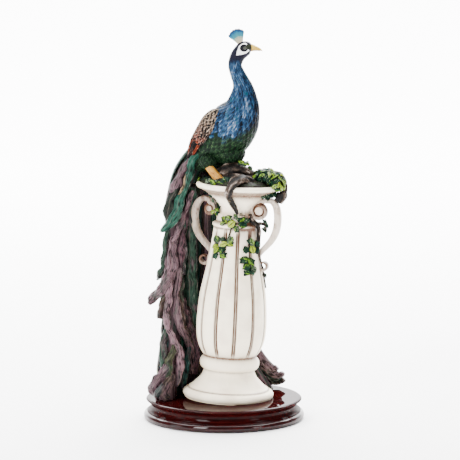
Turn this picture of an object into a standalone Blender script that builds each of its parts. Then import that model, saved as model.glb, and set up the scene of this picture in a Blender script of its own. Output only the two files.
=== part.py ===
# A painted cast-resin peacock on a lobed urn, with its train hanging behind, on a turned wooden plinth.
# Metres, +Z up. The origin is the centre of the plinth's underside, and -Y is the front.
import bpy
import bmesh
import math
from mathutils import Matrix, Vector

MM = 0.001

# The turned plinth.
PLINTH_HEIGHT = 24 * MM
PLINTH_TOP_RADIUS = 87.5 * MM
PLINTH_COVE_RADIUS = 84.3 * MM
PLINTH_BEAD_RADIUS = 90.3 * MM
PLINTH_BEAD_HEIGHT = 8.6 * MM
PLINTH_LIP = 2.6 * MM
PLINTH_SEGMENTS = 36

# The casting stands this far above the plinth, so that the two solids stay apart.
SEAT_GAP = 0.3 * MM

# The urn, measured along its own axis from its seat. The axis leans a little to the right.
URN_X = 4.4 * MM
URN_Y = -3.4 * MM
URN_LEAN = 2.7
URN_HEIGHT = 242 * MM
URN_FOOT_RADIUS = 50.8 * MM
URN_WAIST_RADIUS = 28.3 * MM
URN_COLLAR_RADIUS = 33.4 * MM
URN_BELLY_RADIUS = 39.8 * MM
URN_NECK_RADIUS = 25.0 * MM
URN_THROAT_RADIUS = 21.0 * MM
URN_RIM_RADIUS = 46.5 * MM
URN_RIM_THICKNESS = 5.5 * MM
URN_LOBES = 11
LOBE_GROOVE = 2.2 * MM
LOBE_STEPS = 4
LOBE_TURN = 5.6

# The handles, each in an upright plane through the urn's axis.
HANDLE_THICKNESS = 8.0 * MM
HANDLE_DEPTH = 9.5 * MM
HANDLE_REACH = 43.5 * MM
HANDLE_SIDES = 6
RIGHT_HANDLE_AZIMUTH = -14
LEFT_HANDLE_AZIMUTH = 160
VOLUTE_RADIUS = 9.4 * MM
SCROLL_RADIUS = 6.8 * MM

# The bird, placed by where it perches, from the middle of the urn's mouth. Its form is in shares of its height.
PERCH_LEFT = 10.1 * MM
PERCH_BACK = 3.4 * MM
PERCH_RISE = 6.3 * MM
BIRD_HEIGHT = 153.0 * MM
BIRD_TURN = 30
BIRD_SIDES = 14
BEAK_LENGTH = 12.5 * MM
CREST_HEIGHT = 22.2 * MM
CREST_PLUME_COUNT = 5
CREST_PLUME_WIDTH = 5.4 * MM
CREST_SPREAD = 21
CREST_LEAN = -24
CREST_THICKNESS = 3.6 * MM
WING_THICKNESS = 9.0 * MM
SHANK_RADIUS = 4.4 * MM
TOE_RADIUS = 2.6 * MM

# The train, round the urn's axis. Its top is tucked under the bird's tail, this far above the perch.
TRAIN_REACH = 81 * MM
TRAIN_TUCK = 24 * MM
TRAIN_THICKNESS = 24 * MM
TRAIN_FOLD = 3.4 * MM

# The branch, its hanging vines and the leaves.
BRANCH_RADIUS = 5.6 * MM
VINE_RADIUS = 2.6 * MM
LEAF_LENGTH = 10.5 * MM
LEAF_WIDTH = 6.8 * MM
LEAF_THICKNESS = 2.6 * MM


# Mesh making.
def material(name, colour, roughness):
    made = bpy.data.materials.new(name)
    made.use_nodes = True
    shader = made.node_tree.nodes["Principled BSDF"]
    shader.inputs["Base Color"].default_value = (*colour, 1)
    shader.inputs["Roughness"].default_value = roughness
    shader.inputs["Metallic"].default_value = 0
    return made


def outward(name, bm):
    """Turns a closed mesh into an object with its faces outward."""
    bmesh.ops.recalc_face_normals(bm, faces=bm.faces)
    if bm.calc_volume(signed=True) < 0:
        bmesh.ops.reverse_faces(bm, faces=bm.faces)
    mesh = bpy.data.meshes.new(name)
    bm.to_mesh(mesh)
    bm.free()
    made = bpy.data.objects.new(name, mesh)
    bpy.context.scene.collection.objects.link(made)
    return made


def solid(name, rings, hollow_side=False):
    """A closed solid from rings of equal count. Each end closes in a fan, or in strips if one side is hollow."""
    bm = bmesh.new()
    rows = [[bm.verts.new(p) for p in ring] for ring in rings]
    count = len(rows[0])
    for low, high in zip(rows, rows[1:]):
        for i in range(count):
            j = (i + 1) % count
            bm.faces.new((low[i], low[j], high[j], high[i]))
    for row in (rows[0], rows[-1]):
        if hollow_side:
            for i in range(count // 2 - 1):
                bm.faces.new((row[i], row[i + 1], row[-2 - i], row[-1 - i]))
        else:
            middle = bm.verts.new(sum((v.co for v in row), Vector()) / count)
            for i in range(count):
                bm.faces.new((row[i], row[(i + 1) % count], middle))
    return outward(name, bm)


def fuse(whole, piece, operation="UNION", solver="EXACT"):
    """Joins a piece to the whole, or cuts it away, and drops the piece."""
    joint = whole.modifiers.new("fuse", "BOOLEAN")
    joint.operation = operation
    joint.solver = solver
    joint.object = piece
    bpy.context.view_layer.update()
    graph = bpy.context.evaluated_depsgraph_get()
    result = bpy.data.meshes.new_from_object(whole.evaluated_get(graph))
    whole.modifiers.clear()
    old = whole.data
    whole.data = result
    bpy.data.meshes.remove(old)
    bpy.data.objects.remove(piece)


def curve_through(points, steps):
    """Points at an even parameter along a smooth curve through the given points."""
    points = [Vector(p) for p in points]
    ends = [2 * points[0] - points[1], *points, 2 * points[-1] - points[-2]]
    found = []
    for k in range(steps + 1):
        along = k / steps * (len(points) - 1)
        i = min(int(along), len(points) - 2)
        t = along - i
        a, b, c, d = ends[i : i + 4]
        found.append(
            0.5 * ((2 * b) + (c - a) * t + (2 * a - 5 * b + 4 * c - d) * t**2 + (3 * b - 3 * c + d - a) * t**3)
        )
    return found


def swept(name, points, halves, sides, broad=None, steps=None):
    """A tube through points. Each of halves is a half-width along broad, and a half-thickness across it."""
    count = steps or len(points) - 1
    route = curve_through(points, count)
    sizes = curve_through([Vector((*h, 0)) for h in halves], count)
    rings = []
    side = Vector(broad) if broad else Vector((0, 1, 0))
    for i, point in enumerate(route):
        ahead = (route[min(i + 1, count)] - route[max(i - 1, 0)]).normalized()
        flat = (side - ahead * side.dot(ahead)).normalized()
        if broad is None:
            side = flat
        across = ahead.cross(flat)
        rings.append(
            [
                point
                + flat * (max(sizes[i].x, 0.2 * MM) * math.cos(turn))
                + across * (max(sizes[i].y, 0.2 * MM) * math.sin(turn))
                for turn in (math.tau * (k + 0.5) / sides for k in range(sides))
            ]
        )
    return solid(name, rings)


def lathe_rings(profile, segments, radius_at=None):
    rings = []
    for radius, height in profile:
        ring = []
        for k in range(segments):
            turn = math.tau * k / segments
            reach = radius_at(radius, height, k) if radius_at else radius
            ring.append(Vector((reach * math.cos(turn), reach * math.sin(turn), height)))
        rings.append(ring)
    return rings


# The plinth: a turned disc with a thin top lip, a shallow cove and a bead round its foot.
def plinth():
    top = PLINTH_HEIGHT
    bead = PLINTH_BEAD_HEIGHT
    cove = (top - PLINTH_LIP + bead) / 2
    shoulder = (PLINTH_COVE_RADIUS + PLINTH_BEAD_RADIUS) / 2
    profile = [
        (PLINTH_BEAD_RADIUS - 2.4 * MM, 0),
        (PLINTH_BEAD_RADIUS - 0.5 * MM, bead * 0.2),
        (PLINTH_BEAD_RADIUS, bead * 0.5),
        (PLINTH_BEAD_RADIUS - 0.9 * MM, bead * 0.86),
        (shoulder, bead),
        (shoulder - 1.6 * MM, (bead + cove) / 2),
        (PLINTH_COVE_RADIUS, cove),
        (PLINTH_COVE_RADIUS + 0.8 * MM, (cove + top - PLINTH_LIP) / 2),
        (PLINTH_TOP_RADIUS - 0.6 * MM, top - PLINTH_LIP),
        (PLINTH_TOP_RADIUS, top - PLINTH_LIP / 2),
        (PLINTH_TOP_RADIUS - 0.9 * MM, top),
    ]
    made = solid("plinth", lathe_rings(profile, PLINTH_SEGMENTS))
    made.data.materials.append(material("mahogany", (0.09, 0.012, 0.012), 0.12))
    made.data.shade_smooth()
    made.data.set_sharp_from_angle(angle=math.radians(35))


# The urn's outline, foot to rim, as (radius, share of the height).
URN_OUTLINE = [
    (URN_FOOT_RADIUS - 1.6 * MM, 0.0),
    (URN_FOOT_RADIUS, 0.02),
    (URN_FOOT_RADIUS - 2.2 * MM, 0.042),
    (URN_WAIST_RADIUS + 0.42 * (URN_FOOT_RADIUS - URN_WAIST_RADIUS), 0.064),
    (URN_WAIST_RADIUS + 0.12 * (URN_FOOT_RADIUS - URN_WAIST_RADIUS), 0.095),
    (URN_WAIST_RADIUS, 0.125),
    (URN_COLLAR_RADIUS, 0.165),
    (URN_COLLAR_RADIUS - 2.4 * MM, 0.193),
    (URN_BELLY_RADIUS * 0.84, 0.222),
    (URN_BELLY_RADIUS * 0.945, 0.26),
    (URN_BELLY_RADIUS, 0.34),
    (URN_BELLY_RADIUS * 0.965, 0.45),
    (URN_BELLY_RADIUS * 0.88, 0.55),
    (URN_BELLY_RADIUS * 0.76, 0.66),
    (URN_NECK_RADIUS, 0.775),
]
URN_MOUTH = [
    (URN_NECK_RADIUS + 1.6 * MM, 0.793),
    (URN_NECK_RADIUS + 0.6 * MM, 0.812),
    (URN_THROAT_RADIUS, 0.836),
    (URN_THROAT_RADIUS + 0.16 * (URN_RIM_RADIUS - URN_THROAT_RADIUS), 0.893),
    (URN_THROAT_RADIUS + 0.42 * (URN_RIM_RADIUS - URN_THROAT_RADIUS), 0.94),
]


def urn_outline():
    low = [(radius, share * URN_HEIGHT) for radius, share in URN_OUTLINE + URN_MOUTH]
    lip = URN_HEIGHT - URN_RIM_THICKNESS
    return low + [
        (URN_RIM_RADIUS - 1.6 * MM, lip),
        (URN_RIM_RADIUS, lip + URN_RIM_THICKNESS / 2),
        (URN_RIM_RADIUS - 1.2 * MM, URN_HEIGHT),
    ]


def urn_radius(height):
    outline = urn_outline()
    for (low_r, low_z), (high_r, high_z) in zip(outline, outline[1:]):
        if height <= high_z:
            return low_r + (high_r - low_r) * max(height - low_z, 0) / (high_z - low_z)
    return outline[-1][0]


def urn_matrix():
    seat = Vector((URN_X, URN_Y, PLINTH_HEIGHT))
    return Matrix.Translation(seat) @ Matrix.Rotation(math.radians(URN_LEAN), 4, "Y")


def on_urn(azimuth, height, out=0.0):
    """A point on the urn: azimuth in degrees from +X, height along its axis, and out from its wall."""
    turn = math.radians(azimuth)
    reach = urn_radius(height) + out
    return urn_matrix() @ Vector((reach * math.cos(turn), reach * math.sin(turn), height))


def lobed(radius, height, k):
    """The belly's wall is pressed in along a groove between lobes, deepest half way up."""
    low, high = URN_OUTLINE[7][1] * URN_HEIGHT, URN_OUTLINE[-1][1] * URN_HEIGHT
    if not low < height < high + 1 * MM or k % LOBE_STEPS:
        return radius
    rise = (height - low) / (high - low)
    return radius - LOBE_GROOVE * math.sin(math.pi * min(rise * 0.9 + 0.1, 1)) ** 0.4


def urn():
    made = solid("figurine", lathe_rings(urn_outline(), URN_LOBES * LOBE_STEPS, lobed))
    turn = Matrix.Rotation(math.radians(-90 + LOBE_TURN), 4, "Z")
    made.data.transform(Matrix.Translation((0, 0, -SEAT_GAP)) @ turn)
    made.data.transform(urn_matrix())
    return made


# A handle: a strap from a volute under the rim, out and down to a small scroll on the belly.
def handle_point(azimuth, out, height, aside=0.0):
    turn = math.radians(azimuth)
    outward_way = Vector((math.cos(turn), math.sin(turn), 0))
    sideways = Vector((-math.sin(turn), math.cos(turn), 0))
    return urn_matrix() @ (outward_way * out + sideways * aside + Vector((0, 0, height)))


def handle_route():
    """The strap's middle line as (out from the axis, height), with its half-thickness."""
    half = HANDLE_THICKNESS / 2
    volute, scroll = handle_centres()
    route = []
    for turn in (150, 115, 80):
        toward = Vector((math.cos(math.radians(turn)), math.sin(math.radians(turn))))
        route.append((volute + toward * VOLUTE_RADIUS * 0.8, half * 0.62))
    for share, height, thick in HANDLE_STRAP:
        route.append((Vector((HANDLE_REACH * share, height * URN_HEIGHT)), half * thick))
    for turn in (170, 215, 260, 305):
        toward = Vector((math.cos(math.radians(turn)), math.sin(math.radians(turn))))
        route.append((scroll + toward * SCROLL_RADIUS * 0.7, half * 0.58))
    return route


# The strap between its two rolls: (share of the reach, share of the urn's height, share of the thickness).
HANDLE_STRAP = [
    (0.81, 0.915, 0.80),
    (0.94, 0.903, 0.90),
    (1.04, 0.875, 1.00),
    (1.07, 0.830, 1.00),
    (1.02, 0.785, 1.00),
    (0.92, 0.745, 0.94),
    (0.79, 0.712, 0.84),
    (0.67, 0.685, 0.76),
    (0.60, 0.658, 0.66),
]


def handle_centres():
    """The middles of the volute and of the scroll, as (out from the axis, height)."""
    volute = Vector((0.64 * HANDLE_REACH, 0.868 * URN_HEIGHT))
    scroll = Vector((0.79 * HANDLE_REACH, 0.628 * URN_HEIGHT))
    return volute, scroll


def roll(azimuth, middle, radius, sides):
    """The rolled end of a strap: a short bar across it."""
    depth = HANDLE_DEPTH / 2
    rings = []
    for aside, share in ((-1.02, 0.8), (-0.8, 1), (0.8, 1), (1.02, 0.8)):
        ring = []
        for k in range(sides):
            turn = math.tau * k / sides
            out, up = middle.x + radius * share * math.cos(turn), middle.y + radius * share * math.sin(turn)
            ring.append(handle_point(azimuth, out, up, aside * depth))
        rings.append(ring)
    return solid("roll", rings)


def handle(azimuth):
    points = []
    halves = []
    for place, half in handle_route():
        points.append(handle_point(azimuth, place.x, place.y))
        halves.append((HANDLE_DEPTH / 2, half))
    across = handle_point(azimuth, 0, 0, 1) - handle_point(azimuth, 0, 0)
    strap = swept("strap", points, halves, HANDLE_SIDES, broad=across)
    volute, scroll = handle_centres()
    return [strap, roll(azimuth, volute, VOLUTE_RADIUS, 12), roll(azimuth, scroll, SCROLL_RADIUS, 9)]


# The bird's body, neck and head: (right, back, up, half-depth, half-width), in shares of its height.
BIRD_STATIONS = [
    (-0.242, 0.131, 0.077, 0.085, 0.124),
    (-0.176, 0.098, 0.154, 0.128, 0.118),
    (-0.088, 0.046, 0.248, 0.172, 0.150),
    (0.000, 0.000, 0.341, 0.183, 0.165),
    (0.058, -0.033, 0.431, 0.169, 0.158),
    (0.094, -0.052, 0.516, 0.130, 0.124),
    (0.103, -0.059, 0.593, 0.099, 0.096),
    (0.100, -0.059, 0.658, 0.075, 0.073),
    (0.085, -0.059, 0.709, 0.060, 0.059),
    (0.063, -0.059, 0.759, 0.053, 0.052),
    (0.044, -0.059, 0.814, 0.049, 0.048),
    (0.050, -0.060, 0.861, 0.051, 0.047),
    (0.072, -0.062, 0.904, 0.054, 0.047),
    (0.108, -0.064, 0.938, 0.057, 0.046),
    (0.146, -0.065, 0.945, 0.047, 0.038),
    (0.170, -0.065, 0.943, 0.024, 0.020),
]


def perch():
    mouth = urn_matrix() @ Vector((0, 0, URN_HEIGHT))
    return mouth + Vector((-PERCH_LEFT, PERCH_BACK, PERCH_RISE))


def bird_point(right, back, up):
    return perch() + Vector((right, back, up)) * BIRD_HEIGHT


def bird():
    rings = []
    count = len(BIRD_STATIONS)
    middles = [bird_point(*station[:3]) for station in BIRD_STATIONS]
    for i, (_, _, up, deep, wide) in enumerate(BIRD_STATIONS):
        ahead = (middles[min(i + 1, count - 1)] - middles[max(i - 1, 0)]).normalized()
        turn = math.radians(BIRD_TURN) * max(0.0, min(1.0, (0.9 - up) / 0.5))
        aside = Vector((math.sin(turn), math.cos(turn), 0))
        aside = (aside - ahead * aside.dot(ahead)).normalized()
        over = ahead.cross(aside)
        ring = []
        for k in range(BIRD_SIDES):
            at = math.tau * k / BIRD_SIDES
            reach = aside * (wide * math.cos(at)) + over * (deep * math.sin(at))
            ring.append(middles[i] + reach * BIRD_HEIGHT)
        rings.append(ring)
    return solid("bird", rings)


def beak():
    base = bird_point(0.160, -0.065, 0.945)
    tip = base + Vector((BEAK_LENGTH, 0, -1.6 * MM))
    middle = base.lerp(tip, 0.55) + Vector((0, 0, 0.9 * MM))
    halves = [(2.8 * MM, 3.8 * MM), (2.0 * MM, 2.3 * MM), (0.5 * MM, 0.5 * MM)]
    return swept("beak", [base, middle, tip], halves, 6)


def crest():
    """An upright fan of little paddle-shaped plumes, seen from the side."""
    root = bird_point(0.092, -0.064, 0.954)
    plumes = []
    for k in range(CREST_PLUME_COUNT):
        share = 2 * k / (CREST_PLUME_COUNT - 1) - 1
        turn = math.radians(CREST_LEAN + CREST_SPREAD * share)
        up = Vector((math.sin(turn), 0, math.cos(turn)))
        length = CREST_HEIGHT * (1 - 0.13 * abs(share))
        shares = (-0.12, 0.30, 0.62, 0.86, 1.0)
        halves = [(w * CREST_PLUME_WIDTH / 2, t * CREST_THICKNESS / 2) for w, t in
                  ((0.4, 0.9), (0.45, 0.95), (0.9, 1), (1, 0.95), (0.35, 0.6))]
        aside = Vector((math.cos(turn), 0, -math.sin(turn)))
        plumes.append(swept("plume", [root + up * length * at for at in shares], halves, 5, broad=aside))
    return plumes


# The folded wing: (right, back, up) of the back's middle line, offset to the wing and half its breadth.
WING_STATIONS = [
    (0.000, 0.000, 0.480, 0.090, 0.020),
    (-0.020, 0.012, 0.430, 0.120, 0.062),
    (-0.062, 0.038, 0.355, 0.140, 0.082),
    (-0.112, 0.068, 0.265, 0.140, 0.082),
    (-0.170, 0.098, 0.170, 0.120, 0.060),
    (-0.215, 0.120, 0.085, 0.100, 0.018),
]


def wing(side):
    """A folded wing against the body: shoulder to tip, broad across the flank."""
    turn = math.radians(BIRD_TURN)
    out = Vector((math.sin(turn), math.cos(turn), 0)) * side
    points = []
    halves = []
    for right, back, up, offset, half in WING_STATIONS:
        points.append(bird_point(right, back, up) + out * offset * BIRD_HEIGHT)
        halves.append((half * BIRD_HEIGHT, WING_THICKNESS / 2 * min(1.0, half / 0.06)))
    spine = points[-1] - points[0]
    return swept("wing", points, halves, 8, broad=spine.cross(out).normalized(), steps=7)


def leg(side):
    """A short thick shank under the thigh, with three toes forward and one back."""
    turn = math.radians(BIRD_TURN)
    out = Vector((math.sin(turn), math.cos(turn), 0)) * side
    hip = bird_point(-0.12, 0.0, 0.10) + out * 0.085 * BIRD_HEIGHT
    heel = bird_point(-0.10, 0.0, 0.02) + out * 0.11 * BIRD_HEIGHT
    pieces = [swept("shank", [hip, heel], [(SHANK_RADIUS, SHANK_RADIUS), (SHANK_RADIUS, SHANK_RADIUS * 0.8)], 8)]
    for spread in (-32, 4, 40, 182):
        heading = math.radians(spread - 12)
        toward = Vector((math.cos(heading), math.sin(heading), 0))
        reach = 12.5 * MM if spread < 90 else 7.5 * MM
        toe = [heel - toward * 1 * MM, heel + toward * reach * 0.6, heel + toward * reach - Vector((0, 0, 2.6 * MM))]
        sizes = [(TOE_RADIUS, TOE_RADIUS), (TOE_RADIUS * 0.85, TOE_RADIUS * 0.85), (0.8 * MM, 0.8 * MM)]
        pieces.append(swept("toe", toe, sizes, 5))
    return pieces


# The train: (share of the drop, azimuth and reach of its back edge, azimuth and reach of its left edge,
# share of the thickness). It hangs as a curtain round the back and left of the urn.
TRAIN_STATIONS = [
    (1.00, 124, 0.60, 170, 0.68, 0.75),
    (0.93, 122, 0.60, 172, 0.74, 0.92),
    (0.84, 112, 0.58, 173, 0.88, 0.90),
    (0.75, 104, 0.56, 174, 0.96, 0.86),
    (0.66, 98, 0.54, 176, 0.99, 0.92),
    (0.57, 93, 0.55, 178, 0.99, 0.96),
    (0.48, 90, 0.58, 180, 0.96, 1.00),
    (0.39, 88, 0.62, 182, 0.90, 1.00),
    (0.30, 85, 0.64, 183, 0.85, 1.00),
    (0.21, 76, 0.66, 186, 0.83, 1.06),
    (0.13, 62, 0.70, 190, 0.86, 1.16),
    (0.06, 48, 0.76, 195, 0.88, 1.26),
    (-0.02, 40, 0.80, 198, 0.88, 1.30),
]
TRAIN_COLUMN_COUNT = 13


def train_station(share):
    """The train's section at a share of its drop, smoothly between the stations."""
    last = len(TRAIN_STATIONS) - 1
    for i in range(last):
        high, low = TRAIN_STATIONS[i], TRAIN_STATIONS[i + 1]
        if share >= low[0] or i == last - 1:
            t = (high[0] - share) / (high[0] - low[0])
            return [a + (b - a) * t for a, b in zip(high, low)]


def train_point(share, across, out=0.0):
    """A place on the train's middle sheet: across runs from 0 at its back edge to 1 at its left edge."""
    _, back_turn, back_reach, left_turn, left_reach, _ = train_station(share)
    turn = math.radians(back_turn + (left_turn - back_turn) * across)
    reach = (back_reach + (left_reach - back_reach) * max(across, 0) ** 1.2) * TRAIN_REACH + out
    height = PLINTH_HEIGHT + share * (perch().z + TRAIN_TUCK - PLINTH_HEIGHT)
    axis = urn_matrix() @ Vector((0, 0, max(height - PLINTH_HEIGHT, 0)))
    return Vector((axis.x + reach * math.cos(turn), axis.y + reach * math.sin(turn), height))


def train():
    rings = []
    for station in reversed(TRAIN_STATIONS):
        share, thick = station[0], station[5]
        outer = []
        inner = []
        for k in range(TRAIN_COLUMN_COUNT):
            across = k / (TRAIN_COLUMN_COUNT - 1)
            swell = 0.3 + 0.7 * math.sin(math.pi * across) ** 0.6
            half = TRAIN_THICKNESS / 2 * thick * swell
            fold = TRAIN_FOLD * (swell - 0.3) * math.sin(across * 26 + share * 9 + 1.5 * math.sin(share * 14))
            outer.append(train_point(share, across, half + fold))
            inner.append(train_point(share, across, fold * 0.6 - half))
        rings.append(outer + inner[::-1])
    return solid("train", rings, hollow_side=True)


def feather(places, widths, thickness=0.5, out_from=0.0):
    """A plume lying on the train. Places are (share of the drop, across, out from the middle sheet)."""
    points = [train_point(share, across, out * MM) for share, across, out in places]
    middle = len(places) // 2
    share, across, _ = places[middle]
    step = train_point(share, across + 0.02) - train_point(share, across - 0.02)
    halves = [(w / 2 * MM, max(w / 2 * thickness, 1.0) * MM) for w in widths]
    return swept("feather", points, halves, 5, broad=step.normalized(), steps=len(places) + 2)


# Each plume: its places on the train, and its widths in millimetres.
PLUMES = [
    ([(0.97, 0.9, -2), (0.86, 0.93, -6), (0.76, 0.95, -9), (0.685, 1.03, -8)], (12, 17, 15, 4)),
    ([(0.9, 0.98, 2), (0.82, 1.0, 2), (0.76, 1.04, 3)], (9, 10, 3)),
    ([(0.82, 0.98, 4), (0.73, 1.0, 3), (0.65, 1.05, 1)], (9, 11, 3)),
    ([(0.70, 0.95, -6), (0.60, 0.97, -6), (0.50, 1.03, -4)], (8, 13, 5)),
    ([(0.58, 0.96, -2), (0.48, 1.02, 2), (0.41, 1.08, 9), (0.375, 1.12, 18)], (7, 11, 10, 6)),
    ([(0.46, 0.98, 4), (0.38, 1.0, 4), (0.325, 1.02, 4)], (8, 10, 9)),
    ([(0.44, 0.88, -12), (0.33, 0.80, -12), (0.22, 0.86, -13), (0.12, 0.90, -14)], (7, 10, 12, 7)),
    ([(0.30, 0.95, -2), (0.27, 1.0, 0), (0.24, 1.0, 2)], (7, 9, 4)),
    ([(0.24, 0.95, -4), (0.15, 0.98, -2), (0.09, 1.02, 6), (0.05, 1.04, 11)], (8, 14, 12, 8)),
    ([(0.20, 0.84, -14), (0.11, 0.80, -15), (0.0, 0.80, -15)], (5, 9, 8)),
    ([(0.12, 0.93, -8), (0.06, 0.96, -9), (0.0, 0.97, -8)], (9, 14, 12)),
    ([(0.14, 0.06, 2), (0.08, -0.02, 4), (0.045, -0.09, 6)], (12, 14, 4)),
    ([(0.10, 0.10, -4), (0.055, 0.0, -2), (0.03, -0.06, 0)], (9, 10, 3)),
]


# The branch across the urn's mouth, and the vines that hang from it.
def branch():
    r = BRANCH_RADIUS
    v = VINE_RADIUS
    mouth = urn_matrix() @ Vector((0, 0, URN_HEIGHT))
    arch = [(-25, -10, 4), (-9, -14, 14), (2, -16, 20), (16, -14, 20), (28, -10, 12), (42, -8, 6)]
    limb = [mouth + Vector((x - 15, y, z)) * MM for x, y, z in arch]
    front = on_urn(-101, URN_HEIGHT, 1.5 * MM) + Vector((0, 0, 1.5 * MM))
    hanging = [limb[4] - Vector((4, 8, 3)) * MM, front + Vector((7, 6, 5)) * MM, front]
    hanging += [on_urn(-104, share * URN_HEIGHT, 1.2 * MM) for share in (0.955, 0.905, 0.865, 0.83)]
    side = on_urn(-6, URN_HEIGHT, 2 * MM)
    right = [limb[5], side + Vector((-6, 0, 7)) * MM, side + Vector((3, -1, 0)) * MM,
             side + Vector((4, -2, -9)) * MM, side + Vector((0, -3, -18)) * MM]
    stem = [on_urn(-28, share * URN_HEIGHT, 1.0 * MM) for share in (0.90, 0.84, 0.79, 0.72, 0.64, 0.56)]
    thick = [(r * 0.7, r * 0.7), (r * 1.1, r), (r * 1.25, r), (r * 1.2, r), (r, r), (r * 0.8, r * 0.8)]
    thin = [(s * v, s * v) for s in (1.3, 1.5, 1.3, 1.1, 0.9, 0.75, 0.6)]
    gnarl = [(s * r, s * r) for s in (0.7, 0.75, 0.8, 0.85, 0.7)]
    return [
        swept("limb", limb, thick, 7, steps=9),
        swept("hanging_vine", hanging, thin, 6, steps=11),
        swept("right_vine", right, gnarl, 7, steps=8),
        swept("stem", stem, [(v * 0.8, v * 0.8)] * len(stem), 6),
    ]


# A mound of moss fills the urn's mouth under the branch.
def moss():
    rings = []
    for share, height in ((0.93, -0.02), (0.86, 0.004), (0.6, 0.03), (0.25, 0.042)):
        ring = []
        for k in range(14):
            turn = math.tau * k / 14
            reach = URN_RIM_RADIUS * share * (1 + 0.03 * math.sin(3 * turn))
            place = Vector((reach * math.cos(turn), reach * math.sin(turn), URN_HEIGHT * (1 + height)))
            ring.append(urn_matrix() @ place)
        rings.append(ring)
    return solid("moss", rings)


def leaf(root, toward, face, size=1.0):
    """A pointed leaf with a raised midrib, lying along toward with its upper side to face."""
    toward = toward.normalized()
    face = (face - toward * face.dot(toward)).normalized()
    aside = toward.cross(face)
    length, wide, thick = (v * size for v in (LEAF_LENGTH, LEAF_WIDTH, LEAF_THICKNESS))
    edge = [(0, 0), (0.25, 0.42), (0.6, 0.5), (1, 0), (0.6, -0.5), (0.25, -0.42)]
    bm = bmesh.new()
    rim = [bm.verts.new(root + toward * length * a + aside * wide * b) for a, b in edge]
    top = bm.verts.new(root + toward * length * 0.45 + face * thick * 0.65)
    low = bm.verts.new(root + toward * length * 0.45 - face * thick * 0.55)
    for i, corner in enumerate(rim):
        nearby = rim[(i + 1) % len(rim)]
        bm.faces.new((corner, nearby, top))
        bm.faces.new((nearby, corner, low))
    return outward("leaf", bm)


# Sprigs on the urn: azimuth, share of the urn's height, first leaf's turn, leaves and leaf size.
SPRIGS = [
    (-114, 0.862, 120, 2, 1.0),
    (-94, 0.842, -60, 2, 1.2),
    (-70, 0.852, 20, 2, 1.1),
    (-120, 0.742, 100, 3, 1.05),
    (-127, 0.700, 200, 2, 1.0),
    (-52, 0.732, 68, 3, 1.05),
    (-58, 0.645, 120, 2, 1.2),
    (-22, 0.815, -20, 2, 0.9),
]
# Sprigs round the mouth: azimuth, out from the urn's axis and up from its rim in millimetres, leaves and size.
MOUTH_SPRIGS = [
    (-128, 37, 3, 2, 1.0),
    (-24, 44, 9, 4, 1.2),
    (10, 46, 10, 3, 1.25),
    (-6, 40, 17, 4, 1.15),
    (-40, 41, 3, 2, 1.2),
    (95, 37, 4, 2, 1.0),
]
GOLDEN_TURN = 137.5


def sprigs():
    made = []
    for azimuth, share, first, count, size in SPRIGS:
        height = share * URN_HEIGHT
        root = on_urn(azimuth, height, 0.2 * MM)
        out = (on_urn(azimuth, height, 5 * MM) - root).normalized()
        up = (on_urn(azimuth, height + 2 * MM) - on_urn(azimuth, height - 2 * MM)).normalized()
        aside = up.cross(out)
        for k in range(count):
            turn = math.radians(first + k * GOLDEN_TURN)
            toward = aside * math.cos(turn) + up * math.sin(turn) + out * 0.18
            made.append(leaf(root - toward * 1.5 * MM, toward, out, size))
    for azimuth, reach, rise, count, size in MOUTH_SPRIGS:
        turn = math.radians(azimuth)
        place = Vector((reach * math.cos(turn), reach * math.sin(turn), rise)) * MM
        root = urn_matrix() @ (place + Vector((0, 0, URN_HEIGHT)))
        out = Vector((math.cos(turn), math.sin(turn), 0.4)).normalized()
        made.append(clump(root))
        for k in range(count):
            swing = math.radians(azimuth + 40 + k * GOLDEN_TURN)
            toward = Vector((math.cos(swing), math.sin(swing), 0.25))
            made.append(leaf(root - out * 2.0 * MM, toward, out + Vector((0, 0, 0.8)), size))
    return made


def clump(root):
    """The small lump that a sprig's leaves grow from, tied down into the moss."""
    low = root.lerp(urn_matrix() @ Vector((0, 0, URN_HEIGHT - 4 * MM)), 0.35)
    low.z = min(low.z, (urn_matrix() @ Vector((0, 0, URN_HEIGHT))).z - 1 * MM)
    return swept("clump", [low, root], [(5.0 * MM, 5.0 * MM), (3.6 * MM, 3.6 * MM)], 6)


def below_the_seat():
    """A block that takes off whatever would reach into the plinth."""
    side = 2 * PLINTH_TOP_RADIUS
    top = PLINTH_HEIGHT + SEAT_GAP
    corners = [(-side, -side), (side, -side), (side, side), (-side, side)]
    return solid("below_the_seat", [[Vector((x, y, z)) for x, y in corners] for z in (-side, top)])


def keep_outer_skin(whole):
    """Drops sealed pockets between fused pieces, which a casting doesn't have."""
    bm = bmesh.new()
    bm.from_mesh(whole.data)
    bmesh.ops.triangulate(bm, faces=bm.faces)
    left = set(bm.faces)
    while left:
        shell = {left.pop()}
        edge = list(shell)
        while edge:
            for link in edge.pop().edges:
                for face in link.link_faces:
                    if face in left:
                        left.remove(face)
                        shell.add(face)
                        edge.append(face)
        volume = sum(f.verts[0].co.dot(f.verts[1].co.cross(f.verts[2].co)) for f in shell)
        if volume < 0:
            bmesh.ops.delete(bm, geom=list(shell), context="FACES")
    bm.to_mesh(whole.data)
    bm.free()


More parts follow.
